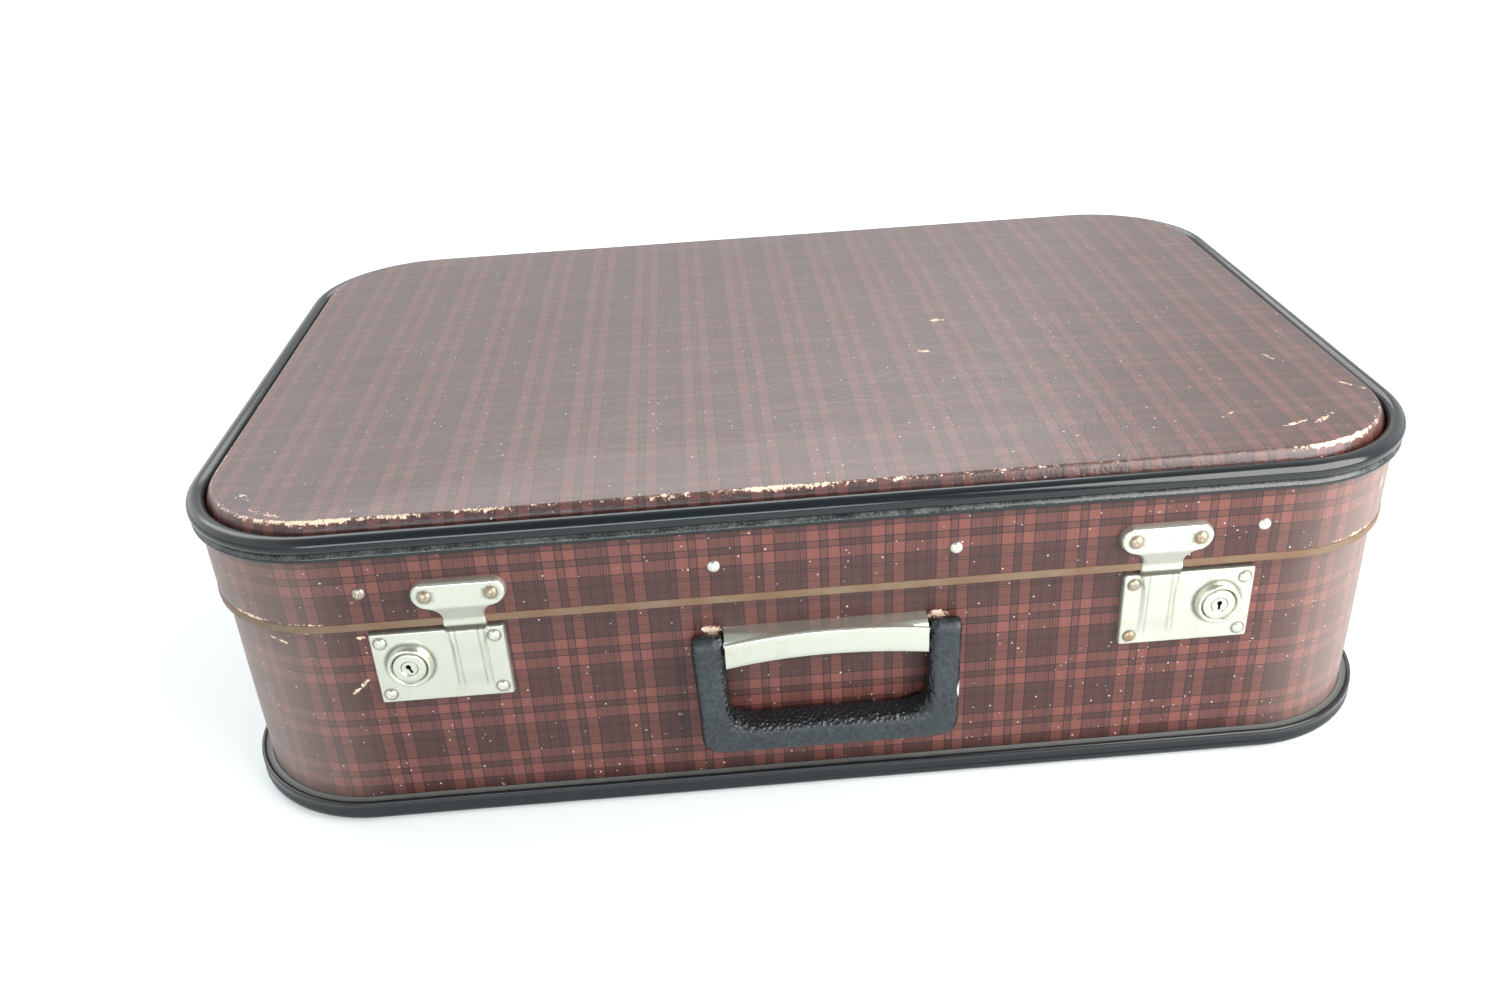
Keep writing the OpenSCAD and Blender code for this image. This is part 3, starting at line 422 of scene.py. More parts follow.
def plastic_material(colours):
    """Black moulded plastic with a leather grain, dull and grey where the attribute says so:
    dusty, and partly painted sheen on the grip's front.
    """
    g = Graph("handle_black")
    place = g.position()
    dust_and_sheen = g.attribute("dust_and_sheen")
    grain = g.cells(place, 0.6, "SMOOTH_F1")
    mottle = g.noise(place, 0.4, 4.0, 0.65)
    cloud = g.noise(place, 0.10, 4.0)
    fine = g.noise(place, 1.6, 4.0, 0.7)
    scuff = g.ramp(g.noise(place, 0.45, 6.0, 0.7), 0.70, 0.75)
    colour = g.mix(scuff * 0.5, colours.plastic, SCUFF_GREY)
    # The dull bluish grey of the grip's front: dust, and partly painted sheen
    dull = g.least(dust_and_sheen * (0.6 + cloud * 0.8), 1.0) * (0.55 + grain * 0.6)
    colour = g.mix(dull, colour, g.mix(g.ramp(mottle, 0.3, 0.7), DULL_DARK, DULL_PALE))
    x, _, z = g.parts(place)
    chip_x, chip_z = 67.5, 61.0
    away = ((x - chip_x) * 0.55) ** 2.0 + ((z - chip_z) * 0.22) ** 2.0
    colour = g.mix(g.ramp(away + (mottle - 0.5) * 1.2, 1.1, 0.8), colour, CHIP_WHITE)
    gloss = 0.15 + dull * 0.36 + (cloud - 0.5) * 0.10 + scuff * 0.2 + (fine - 0.5) * 0.12
    return g.finish(Base_Color=colour, Roughness=gloss, Specular_IOR_Level=0.5,
                    Normal=g.bump(grain * (1.0 - dust_and_sheen * 0.8) + fine * 0.1, 0.9, 0.0013))


def tape_material(colours):
    """Brown edge tape, rubbed through to cream in places."""
    g = Graph("edge_tape_brown")
    place = g.position()
    cloud = g.noise(place, 0.05, 4.0, 0.6)
    ragged = g.noise(place, 0.4, 6.0, 0.7)
    bare = g.ramp(g.attribute("wear") + (ragged - 0.5) * 1.2, 0.58, 0.66)
    colour = g.mix(g.ramp(cloud, 0.35, 0.7), colours.tape, TAPE_FADED)
    colour = g.mix(g.ramp(ragged, 0.55, 0.75) * 0.45, colour, TAPE_DIRT)
    colour = g.mix(bare, colour, TAPE_BARE)
    return g.finish(Base_Color=colour, Roughness=0.48 + (cloud - 0.5) * 0.2 + bare * 0.3,
                    Normal=g.bump(ragged, 0.2, 0.0004))


def paper_material(colours):
    """Aged paper with fibres and water marks."""
    g = Graph("lining_paper")
    place = g.position()
    cloud = g.noise(place, 0.012, 5.0, 0.6)
    fibre = g.noise(g.stretch(place, (1.4, 0.25, 0.5)), 0.8, 4.0)
    spot = g.ramp(g.noise(place, 0.22, 3.0), 0.68, 0.76)
    colour = g.mix(g.ramp(cloud, 0.4, 0.75) * 0.45, colours.paper, PAPER_STAIN)
    colour = g.mix(g.ramp(fibre, 0.5, 0.75) * 0.18 + spot * 0.3, colour, PAPER_STAIN)
    return g.finish(Base_Color=colour, Roughness=0.82 + (cloud - 0.5) * 0.15,
                    Normal=g.bump(fibre, 0.2, 0.0004))


def dark_material():
    """Unlit depth of a keyhole."""
    g = Graph("keyhole_dark")
    cloud = g.noise(g.position(), 0.8, 3.0)
    return g.finish(Base_Color=g.mix(cloud, (0.004, 0.004, 0.004), (0.012, 0.010, 0.009)), Roughness=0.7)


def materials(colours):
    """All finishes by name, made once."""
    if "binding_black" not in bpy.data.materials:
        tartan("tartan_tray", colours, (-125.2, 18.2), (30.4, 32.2), patches=TRAY_MARKS, rubbing_and_sheen=0.42,
               shine=0.45)
        tartan("tartan_lid_side", colours, (-124.9, 134.0), (30.3, 32.2), patches=LID_MARKS, rubbing_and_sheen=0.42,
               shine=0.45)
        tartan("tartan_lid_top", colours, (1.6, 41.0), (29.0, 32.0), cross=0.60, haze=0.16, grain=0.75,
               roughness=0.31, strength=0.72, patches=TOP_MARKS, shine=0.62, flat=169.0)
        tartan("tartan_base", colours, (0.0, 0.0), (30.4, 32.2), haze=0.35, grain=0.30, roughness=0.5,
               mapped=False)
        binding_material(colours)
        metal("nickel_plate", tuple(colours.nickel), colours.rust, 0.25, 0.4)
        metal("nickel_rusty", OLD_NICKEL, colours.rust, 0.34, 0.8, rusty=True)
        metal("steel_plain", tuple(colours.steel), colours.rust, 0.40, 0.4)
        plastic_material(colours)
        tape_material(colours)
        paper_material(colours)
        dark_material()
    return {m.name: m for m in bpy.data.materials}


def span(low, high, steps):
    """Even steps from low to high, with both ends."""
    return [low + (high - low) * i / steps for i in range(steps + 1)]


def soft(value, low, high):
    """0 at low, 1 at high and smooth between."""
    t = min(max((value - low) / (high - low), 0.0), 1.0)
    return t * t * (3 - 2 * t)


def hump(value, middle, width):
    """1 at the middle, falling to both sides."""
    return math.exp(-((value - middle) / width) ** 2)


def rounding(t):
    """Height of a quarter circle, 0 where t is 0 and 1 where t is 1 or more."""
    return math.sqrt(max(1 - (1 - min(t, 1.0)) ** 2, 0.0))


def lump(x, y, z=0.0, seed=0.0):
    """Smooth noise between about -1 and 1."""
    return noise.noise(Vector((x, y, z)) + Vector((seed, seed * 0.7, -seed)))


def arc(x, z, r, first, last, steps):
    """Points on a circle between two angles in degrees."""
    return [(x + r * math.cos(math.radians(a)), z + r * math.sin(math.radians(a)))
            for a in span(first, last, steps)]


def ring(r, h, steps):
    """Points around a level circle."""
    angles = [2 * math.pi * i / steps for i in range(steps)]
    return [(r * math.cos(a), r * math.sin(a), h) for a in angles]


def within(x, y, polygon):
    """Signed distance from a polygon's edge, positive within it."""
    best = 1e9
    hit = False
    for (ax, ay), (bx, by) in zip(polygon, polygon[1:] + polygon[:1]):
        dx, dy = bx - ax, by - ay
        t = min(max(((x - ax) * dx + (y - ay) * dy) / (dx * dx + dy * dy), 0.0), 1.0)
        best = min(best, math.hypot(x - ax - t * dx, y - ay - t * dy))
        if (ay > y) != (by > y) and x < ax + (y - ay) * dx / dy:
            hit = not hit
    return best if hit else -best


class Outline:
    """The case's rounded outline, walked from the middle of the back, past the left, to the front."""

    def __init__(self, sizes):
        self.half_w = sizes.case_width / MM / 2
        self.half_d = sizes.case_depth / MM / 2
        self.radius = sizes.corner_radius / MM
        self.count = 2 * LONG_POINTS + 2 * SHORT_POINTS + 4 * CORNER_POINTS
        self.running = self.lengths(MAP_INSET)

    def walk(self, inset):
        """Points and outward normals at an inset, in millimetres."""
        r = max(self.radius - inset, SMALLEST_RADIUS)
        cx = self.half_w - inset - r
        cy = self.half_d - inset - r
        found = []

        def side(a, b, n, normal):
            for i in range(n):
                t = i / n
                found.append((a[0] + (b[0] - a[0]) * t, a[1] + (b[1] - a[1]) * t, *normal))

        def corner(x, y, first):
            for i in range(CORNER_POINTS):
                angle = math.radians(first + 90 * i / CORNER_POINTS)
                c, w = math.cos(angle), math.sin(angle)
                found.append((x + r * c, y + r * w, c, w))

        top = cy + r
        out = cx + r
        side((0, top), (-cx, top), LONG_POINTS // 2, (0, 1))
        corner(-cx, cy, 90)
        side((-out, cy), (-out, -cy), SHORT_POINTS, (-1, 0))
        corner(-cx, -cy, 180)
        side((-cx, -top), (cx, -top), LONG_POINTS, (0, -1))
        corner(cx, -cy, 270)
        side((out, -cy), (out, cy), SHORT_POINTS, (1, 0))
        corner(cx, cy, 0)
        side((cx, top), (0, top), LONG_POINTS // 2, (0, 1))
        return found

    def lengths(self, inset):
        """Running length of each point, 0 at the middle of the front, with the closing length last."""
        points = self.walk(inset)
        total = [0.0]
        for a, b in zip(points, points[1:] + points[:1]):
            total.append(total[-1] + math.hypot(b[0] - a[0], b[1] - a[1]))
        return [t - total[-1] / 2 for t in total]


def make(name, vertices, faces, material, uv=None, attributes=None, sharp=35.0):
    """A smooth mesh object from points in millimetres; uv is one pair for each corner of each face."""
    mesh = bpy.data.meshes.new(name)
    mesh.from_pydata([(x * MM, y * MM, z * MM) for x, y, z in vertices], [], faces)
    if uv:
        layer = mesh.uv_layers.new(name="weave")
        for i, pair in enumerate(pair for face in uv for pair in face):
            layer.data[i].uv = pair
    for key, values in (attributes or {}).items():
        layer = mesh.attributes.new(key, "FLOAT", "POINT")
        layer.data.foreach_set("value", values)
    mesh.validate()
    mesh.polygons.foreach_set("use_smooth", [True] * len(mesh.polygons))
    mesh.set_sharp_from_angle(angle=math.radians(sharp))
    mesh.materials.append(material)
    made = bpy.data.objects.new(name, mesh)
    bpy.context.scene.collection.objects.link(made)
    return made


def settle(made, body, slot, *nodes):
    """Puts a piece on its body and hides the solids it stands for; slot is not used."""
    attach(made, body)
    if nodes:
        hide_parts(*nodes)


def dress(name, material):
    """Gives its finish to a solid that keeps its own shape."""
    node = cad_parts[name]
    node.data.materials.clear()
    node.data.materials.append(material)


def quads(rows, columns, round_rows=False, round_columns=False, flip=False):
    """Faces of a grid of points, numbered row by row; a round grid closes on its first row or column."""
    faces = []
    for i in range(rows if round_rows else rows - 1):
        a = i * columns
        b = (i + 1) % rows * columns
        for k in range(columns if round_columns else columns - 1):
            j = (k + 1) % columns
            faces.append((a + k, a + j, b + j, b + k) if flip else (a + k, b + k, b + j, a + j))
    return faces


def sweep(name, outline, profile, material, wave, attributes):
    """Runs a closed profile of (inset, height) around the case.

    wave pushes a point outward, by its running length and height. attributes maps a name to a function
    of a point's running length, inset, height and number in the profile.
    """
    walks = {inset: outline.walk(inset) for inset, _ in profile}
    vertices = []
    values = {key: [] for key in attributes}
    for i in range(outline.count):
        s = outline.running[i]
        for k, (inset, z) in enumerate(profile):
            x, y, nx, ny = walks[inset][i]
            push = wave(s, z)
            vertices.append((x + nx * push, y + ny * push, z))
            for key, amount in attributes.items():
                values[key].append(amount(s, inset, z, k))
    heights = [z for _, z in profile]
    uv = [((s0, z0), (s1, z0), (s1, z1), (s0, z1))
          for s0, s1 in zip(outline.running, outline.running[1:])
          for z0, z1 in zip(heights, heights[1:] + heights[:1])]
    faces = quads(outline.count, len(profile), round_rows=True, round_columns=True)
    return make(name, vertices, faces, material, uv, values)


def lathe(profile, steps, cap=True):
    """Vertices and faces of a turned piece: (radius, height) points, height along local z."""
    vertices = [point for r, h in profile for point in ring(r, h, steps)]
    faces = quads(len(profile), steps, round_columns=True, flip=True)
    if cap:
        faces.append(tuple(range(len(vertices) - steps, len(vertices))))
    return vertices, faces


def slab(face, shift):
    """Vertices and faces of a flat sheet: the points of its face, and the same points moved by shift."""
    n = len(face)
    vertices = face + [tuple(a + b for a, b in zip(point, shift)) for point in face]
    sides = [(i, n + i, n + (i + 1) % n, (i + 1) % n) for i in range(n)]
    return vertices, [tuple(range(n)), tuple(reversed(range(n, 2 * n))), *sides]


def dome(r, h, dimple):
    """Head of a rivet or nail, with a dimple in its middle."""
    points = [(r * 0.96, -0.6), (r, 0.0)]
    for i in range(1, 8):
        angle = math.pi / 2 * i / 8
        points.append((r * math.cos(angle) ** 0.85, h * math.sin(angle)))
    points += [(r * 0.22, h), (r * 0.12, h - dimple), (r * 0.02, h - dimple)]
    return lathe(points, 28)


FACING = {
    "up": Matrix.Identity(3),
    "front": Matrix(((1, 0, 0), (0, 0, -1), (0, 1, 0))),
    "back": Matrix(((-1, 0, 0), (0, 0, 1), (0, 1, 0))),
    "left": Matrix(((0, 0, -1), (-1, 0, 0), (0, 1, 0))),
    "right": Matrix(((0, 0, 1), (1, 0, 0), (0, 1, 0))),
}
OPPOSITE = {"front": "back", "back": "front", "left": "right", "right": "left"}


class Pile:
    """Gathers shapes into one mesh; each shape's local z is turned to where it faces."""

    def __init__(self):
        self.vertices = []
        self.faces = []

    def add(self, shape, origin=(0, 0, 0), facing="front", turn=0.0):
        start = len(self.vertices)
        matrix = FACING[facing] @ Matrix.Rotation(math.radians(turn), 3, "Z")
        self.vertices.extend(tuple(matrix @ Vector(v) + Vector(origin)) for v in shape[0])
        self.faces.extend(tuple(start + i for i in face) for face in shape[1])
        return self

    def make(self, name, material, sharp=35.0):
        return make(name, self.vertices, self.faces, material, sharp=sharp)


def wall_wave(s, z):
    """Slight unevenness of the walls."""
    return 0.22 * lump(s * 0.011, z * 0.018, seed=1.3)


def binding_wave(s, z):
    """The walls' unevenness with a shorter ripple."""
    return wall_wave(s, z) + 0.06 * lump(s * 0.05, 0.0, seed=9.0)


class Shape(bpy.types.Operator):
    """Shared parts of the operators."""

    bl_options = {"REGISTER"}

    def kit(self, context):
        sizes = context.scene.suitcase_sizes
        return sizes, Outline(sizes), materials(context.scene.suitcase_colours)


class SUITCASE_OT_shell(Shape):
    """Builds the tartan walls and panels."""

    bl_idname = "suitcase.shell"
    bl_label = "Walls and panels"

    fold_start = 9.0
    fold_width = 4.6
    ridge_inset = 12.7
    slope_inset = 13.2
    crown = 2.1
    crease = 0.10

    def execute(self, context):
        sizes, outline, finish = self.kit(context)

        def tray_wear(s, inset, z, k):
            return 0.10 + 0.08 * lump(s * 0.03, z * 0.05, seed=2.0)

        def lid_wear(s, inset, z, k):
            edge = hump(z, sizes.lid_edge / MM, 5.0)
            return 0.10 + 0.16 * edge + 0.08 * lump(s * 0.03, z * 0.05, seed=4.0)

        wall = sweep("tray_wall_tartan", outline, self.rim(outline, "tray_wall"), finish["tartan_tray"],
                     wall_wave, {"wear": tray_wear})
        settle(wall, "tray", "tartan_board", "tray_wall")
        wall = sweep("lid_wall_tartan", outline, self.rim(outline, "lid_wall"), finish["tartan_lid_side"],
                     wall_wave, {"wear": lid_wear})
        settle(wall, "lid", "tartan_board", "lid_wall")
        self.panel(sizes, outline, finish)
        dress("base_panel", finish["tartan_base"])
        return {"FINISHED"}

    def rim(self, outline, node):
        """Profile of a wall with a rounded upper edge."""
        outer = outline.half_w - highest(node, "x")
        inner = outer + BOARD
        low, high = edges(node, "z")
        top = [(outer + 0.3, high - 0.15), (outer + 0.8, high), (inner - 0.6, high)]
        return ([(outer, z) for z in span(low, high - 0.8, 16)] + top +
                [(inner, z) for z in span(high - 0.5, low, 8)])

    def panel(self, sizes, outline, finish):
        """The lid's panel, from its flange under the binding to the middle of its top."""
        insets = [4.0, 7.0, 8.8, *span(9.2, 14.6, 14), 15.4, 16.6, 18.5, *span(21.5, 61.5, 10),
                  67.0, 76.0, 92.0, 110.0, 130.0, 150.0, 168.0, 182.0, 190.0]
        flange = sizes.lid_flange / MM
        ridge = sizes.lid_ridge / MM
        vertices = []
        wear = []
        for inset in insets:
            for s, (x, y, _, _) in zip(outline.running, outline.walk(inset)):
                height = ridge + self.crowning(outline, x, y)
                vertices.append((x, y, flange + (height - flange) * self.fold(inset)))
                wear.append(0.10 + self.ridge_wear(s, inset))
        n = outline.count
        faces = quads(len(insets), n, round_columns=True, flip=True)
        middle = len(vertices)
        last = middle - n
        vertices.append((0.0, 0.0, ridge + self.crowning(outline, 0.0, 0.0)))
        wear.append(0.10)
        faces += [(last + i, last + (i + 1) % n, middle) for i in range(n)]
        uv = [[vertices[i][:2] for i in face] for face in faces]
        made = make("lid_panel_tartan", vertices, faces, finish["tartan_lid_top"], uv, {"wear": wear}, 60.0)
        settle(made, "lid", "tartan_board", "lid_panel")

    def crowning(self, outline, x, y):
        """Height of the panel's top over its ridge: shallow slopes from each side meet in soft creases."""
        half_w = outline.half_w - self.slope_inset
        half_d = outline.half_d - self.slope_inset
        slopes = (0.050 * (y + half_d), 0.0165 * (x + half_w) - 0.75, 0.020 * (half_w - x) - 0.7,
                  0.030 * (half_d - y) - 0.3, self.crown)
        low = -self.crease * math.log(sum(math.exp(-s / self.crease) for s in slopes))
        return low + 0.16 * lump(x * 0.012, y * 0.012, seed=3.1) + 0.05 * lump(x * 0.04, y * 0.04, seed=8.7)

    def fold(self, inset):
        """Share of the ridge's height at an inset, from the flange over the fold."""
        t = min(max((inset - self.fold_start) / self.fold_width, 0.0), 1.0)
        return math.sin(math.pi / 2 * t) ** 0.8

    def ridge_wear(self, s, inset):
        """How worn the ridge is, between 0 and 1."""
        patch = 0.26 + 0.30 * lump(s * 0.045, 0.0, seed=5.0)
        patch += sum(more * hump(s, at, width) for at, width, more in RIDGE_SPOTS)
        return hump(inset, self.ridge_inset, 1.5) * max(patch, 0.0)


class SUITCASE_OT_bindings(Shape):
    """Builds the bindings and the tape on the lid's edge."""

    bl_idname = "suitcase.bindings"
    bl_label = "Bindings and tape"

    def execute(self, context):
        _, outline, finish = self.kit(context)
        self.lid_binding(outline, finish["binding_black"])
        self.base_binding(outline, finish["binding_black"])
        self.tape(outline, finish["edge_tape_brown"])
        return {"FINISHED"}

    def lid_binding(self, outline, material):
        """A fat bead over a dusty fold, a lip that lies on the wall, and the hidden inner face."""
        bead = arc(4.5, 161.5, 4.5, -10, 218, 22)
        skirt = [(1.32, 158.2), (1.7, 157.75), (1.75, 157.35), (1.35, 157.05)]
        lip = arc(2.4, 155.35, 1.9, 128, 262, 12)
        back = [(3.4, 153.45), (3.95, 153.9), (3.95, 160.42), (8.4, 160.42)]
        dusty = range(len(bead), len(bead) + len(skirt) + 4)

        def dust_and_sheen(s, inset, z, k):
            return (0.55 if k in dusty else 0.0) + 0.12

        made = sweep("lid_binding_bead", outline, bead + skirt + lip + back, material, binding_wave,
                     {"dust_and_sheen": dust_and_sheen})
        settle(made, "lid", "binding", "lid_binding")

    def base_binding(self, outline, material):
        """A dusty ledge and lip on the wall, a flat band, the bead and the edge under the base."""
        ledge = [(7.0, 11.7), (6.4, 12.05), (5.2, 11.75), (3.8, 11.7), (2.9, 12.1)]
        lip = arc(1.9, 11.4, 1.1, 70, 205, 9)
        band = [(1.2, 10.2), (1.42, 9.4), (1.42, 8.2), (1.3, 7.2)]
        bead = arc(3.9, 4.8, 3.3, 148, 262, 12)
        under = [(5.0, 1.62), (9.0, 1.7), (11.7, 1.75), (11.9, 2.2), (11.9, 3.9), (7.0, 3.98)]

        def dust_and_sheen(s, inset, z, k):
            return (0.75 if k < len(ledge) - 1 else 0.0) + (0.30 if z > 7.0 and inset > 1.15 else 0.12)

        made = sweep("base_binding_bead", outline, ledge + lip + band + bead + under, material, binding_wave,
                     {"dust_and_sheen": dust_and_sheen})
        settle(made, "tray", "binding", "base_binding")

    def tape(self, outline, material):
        """Thin tape folded around the lid's lower edge."""
        profile = [(3.62, 114.3), (3.58, 115.0), (3.58, 116.8), (3.62, 118.1), (3.98, 118.2), (3.98, 114.47),
                   (6.6, 114.47), (6.6, 114.17), (3.8, 114.17)]

        def rubbed(s, inset, z, k):
            spots = sum(0.24 * hump(s, at, width) for at, width in TAPE_SPOTS)
            return 0.14 + 0.12 * lump(s * 0.02, z * 0.1, seed=6.0) + spots

        made = sweep("lid_edge_tape_worn", outline, profile, material, binding_wave, {"wear": rubbed})
        settle(made, "lid", "edge_tape", "lid_edge_tape")


class SUITCASE_OT_locks(Shape):
    """Builds the lock plates, buttons, key plugs, hasps and their nails and rivets."""

    bl_idname = "suitcase.locks"
    bl_label = "Locks"

    plate_w = extent("lock_plate_right", "x")
    plate_h = extent("lock_plate_right", "z")
    plate_z = halfway("lock_plate_right", "z")
    plate_corner = 1.6
    face_y = highest("lock_plate_right", "y")
    rise = 2.8
    bump = 1.6
    off = 14.5
    bore = 8.7
    bore_up = 2.0
    nail_x = 26.8
    nail_z = 14.75
    nail_turn = 37
    pocket = [(-9.8, 26.0), (9.8, 26.0), (9.8, 20.25), (7.6, 11.5), (6.6, -24.0), (-6.6, -24.0), (-7.6, 11.5),
              (-9.8, 20.25)]
    left_key_turn = 25.0
    hasp_top = highest("hasp_right", "z")
    hasp_y = lowest("hasp_right", "y")
    lid_y = lowest("lid_wall", "y") - 0.05
    end_x = 15.2
    end_z = halfway("hasp_rivets_right", "z")
    end_r = 6.8
    neck = 10.0
    neck_fillet = 8.5

    def execute(self, context):
        sizes, _, finish = self.kit(context)
        middle = sizes.lock_offset / MM
        for s, side in zip((-1, 1), SIDES):
            self.plate(s, side, middle, finish)
            self.turned(s, side, middle, finish)
            self.hasp(s, side, middle - self.off, finish)
            self.fixings(s, side, middle, finish)
        return {"FINISHED"}

    def relief(self, x, z, edge):
        """Height of the pressed plate, x to the button's side, z up from the plate's middle."""
        inner = within(x + self.off, z, self.pocket)
        fade = soft(z, -13.5, -3.0)
        pressed = self.bump * soft(inner, -0.6, 1.0) * fade * (0.55 + 0.45 * soft(z, 0.0, 16.0))
        ridge = 0.35 * hump(inner, 0.5, 0.45) * soft(z, -14.5, -11.0)
        dent = 0.10 * lump(x * 0.08, z * 0.08, seed=7.0)
        return self.rise * rounding(edge / 1.3) + pressed + ridge + dent * soft(edge, 0.0, 3.0)

    def grime_and_shade(self, x, z, edge):
        """Dirt and painted shade on the plate: around the nails and the collar, beside the pocket's ridges,
        along the edge.
        """
        nail = math.hypot(abs(x) - self.nail_x, abs(z) - self.nail_z)
        collar = math.hypot(x - self.off, z - self.bore_up)
        ridge = min(abs(abs(x + self.off) - 8.2), abs(abs(x + self.off) - 5.4))
        dirt_and_painted_light = 0.95 * soft(nail, 4.0, 3.0) + 0.9 * soft(collar, 13.2, 11.4) + 0.55 * soft(edge, 1.0, 0.2)
        dirt_and_painted_light += 0.45 * soft(ridge, 0.7, 0.2) * soft(z, -15.0, -10.0) + 0.5 * soft(z, 18.6, 20.0)
        return min(dirt_and_painted_light, 1.0)

    def grid(self, half, steps):
        """Places of the plate's points from edge to edge, closer together beside the edges."""
        near = [0.0, 0.12, 0.35, 0.7, 1.1, 1.6]
        inner = half - 2.1
        return [e - half for e in near] + span(-inner, inner, steps) + [half - e for e in reversed(near)]

    def plate(self, s, side, middle, finish):
        half_w = self.plate_w / 2
        half_h = self.plate_h / 2
        xs = self.grid(half_w, 110)
        zs = self.grid(half_h, 66)
        vertices = []
        grime_and_shade = []
        for x in xs:
            for z in zs:
                edge = min(half_w - abs(x), half_h - abs(z))
                grime_and_shade.append(self.grime_and_shade(x, z, edge))
                px, pz = self.corner(x, z, half_w, half_h)
                vertices.append((s * (middle + px), self.face_y - self.relief(x, z, edge), self.plate_z + pz))

        def clear_of_bore(face):
            i, k = divmod(face[0], len(zs))
            x, z = (xs[i] + xs[i + 1]) / 2, (zs[k] + zs[k + 1]) / 2
            return math.hypot(x - self.off, z - self.bore_up) > self.bore

        faces = [face[::s] for face in quads(len(xs), len(zs)) if clear_of_bore(face)]
        made = make("lock_plate_pressed_" + side, vertices, faces, finish["nickel_plate"],
                    attributes={"grime_and_shade": grime_and_shade}, sharp=50.0)
        settle(made, "tray", "nickel", "lock_plate_" + side)

    def corner(self, x, z, half_w, half_h):
        """Draws the plate's corners in to a radius."""
        r = self.plate_corner
        ex = abs(x) - (half_w - r)
        ez = abs(z) - (half_h - r)
        if ex > 0 and ez > 0:
            pull = max(ex, ez) / math.hypot(ex, ez)
            x = math.copysign(half_w - r + ex * pull, x)
            z = math.copysign(half_h - r + ez * pull, z)
        return x, z

    def turned(self, s, side, middle, finish):
        """The collar, the button inside it, and the key plug inside the button."""
        place = (s * (middle + self.off), self.face_y, self.plate_z + self.bore_up)
        on_plate = (place[0], self.face_y - self.rise + 0.2, place[2])
        turn = self.left_key_turn if s < 0 else 0.0
        nickel = finish["nickel_plate"]
        collar = lathe([(11.3, 0.0), (11.1, 0.9), (10.9, 2.2), (10.6, 3.6), (10.2, 4.3), (9.6, 4.6),
                        (9.1, 4.4), (8.7, 3.9), (8.45, 3.3), (8.25, 3.0), (8.2, 1.0)], 64, cap=False)
        made = Pile().add(collar, on_plate).make("lock_collar_turned_" + side, nickel, 50.0)
        settle(made, "tray", "nickel", "lock_collar_" + side)
        button = lathe([(7.9, 2.9), (7.9, 6.1), (7.7, 6.55), (7.3, 6.75), (5.6, 6.85), (4.35, 6.85),
                        (4.1, 6.6), (4.05, 5.2)], 64, cap=False)
        made = Pile().add(button, place).make("lock_button_turned_" + side, nickel, 40.0)
        settle(made, "button_" + side, "nickel", "lock_button_" + side)
        plug, hole = self.keyhole()
        made = Pile().add(plug, place, turn=turn).make("key_plug_slotted_" + side, nickel, 40.0)
        settle(made, "key_" + side, "steel", "key_plug_" + side)
        made = Pile().add(hole, place, turn=turn).make("keyhole_" + side, finish["keyhole_dark"], 40.0)
        settle(made, "key_" + side, "steel")

    def keyhole(self):
        """The plug with its rim and an open keyhole, and the dark floor and walls of the keyhole."""
        half, face_r, face_h, floor_h, steps = 0.62, 3.3, 6.6, 3.2, 40
        slot = [(half, -2.7), (half, -0.1), *arc(0.0, 1.0, 1.25, -58, 238, 18), (-half, -0.1), (-half, -2.7)]
        upper = [(x, y, face_h) for x, y in slot]
        work = bmesh.new()
        borders = []
        for points in (ring(face_r, face_h, steps), upper):
            loop = [work.verts.new(point) for point in points]
            borders += [work.edges.new(pair) for pair in zip(loop, loop[1:] + loop[:1])]
        bmesh.ops.triangle_fill(work, use_beauty=True, edges=borders, normal=(0, 0, 1))
        work.verts.index_update()
        rim = [(3.95, 2.95), (3.95, 6.5), (3.75, 6.8), (3.45, 6.8), (face_r, face_h)]
        vertices, faces = lathe(rim, steps, cap=False)
        start = len(vertices)
        vertices += [tuple(v.co) for v in work.verts]
        faces += [tuple(start + v.index for v in f.verts) for f in work.faces]
        work.free()
        n = len(slot)
        walls = quads(2, n, round_columns=True) + [tuple(range(n, 2 * n))]
        return (vertices, faces), (upper + [(x, y, floor_h) for x, y in slot], walls)

    def hasp_rows(self):
        """Heights of the hasp's rows of points, each with its half width."""
        fillet_x = self.neck + self.neck_fillet
        reach = self.end_r + self.neck_fillet
        fillet_z = self.end_z - math.sqrt(reach ** 2 - (fillet_x - self.end_x) ** 2)
        meet_z = self.end_z + (fillet_z - self.end_z) * self.end_r / reach
        for z in span(self.hasp_top, 138.0, 8) + span(137.5, 128.0, 16) + span(127.4, 106.5, 36):
            if z >= meet_z:
                half = self.end_x + math.sqrt(max(self.end_r ** 2 - (z - self.end_z) ** 2, 0.0))
            elif z >= fillet_z:
                half = fillet_x - math.sqrt(max(self.neck_fillet ** 2 - (z - fillet_z) ** 2, 0.0))
            else:
                half = self.neck - 0.6 * soft(z, 114.0, 107.0)
            yield z, half

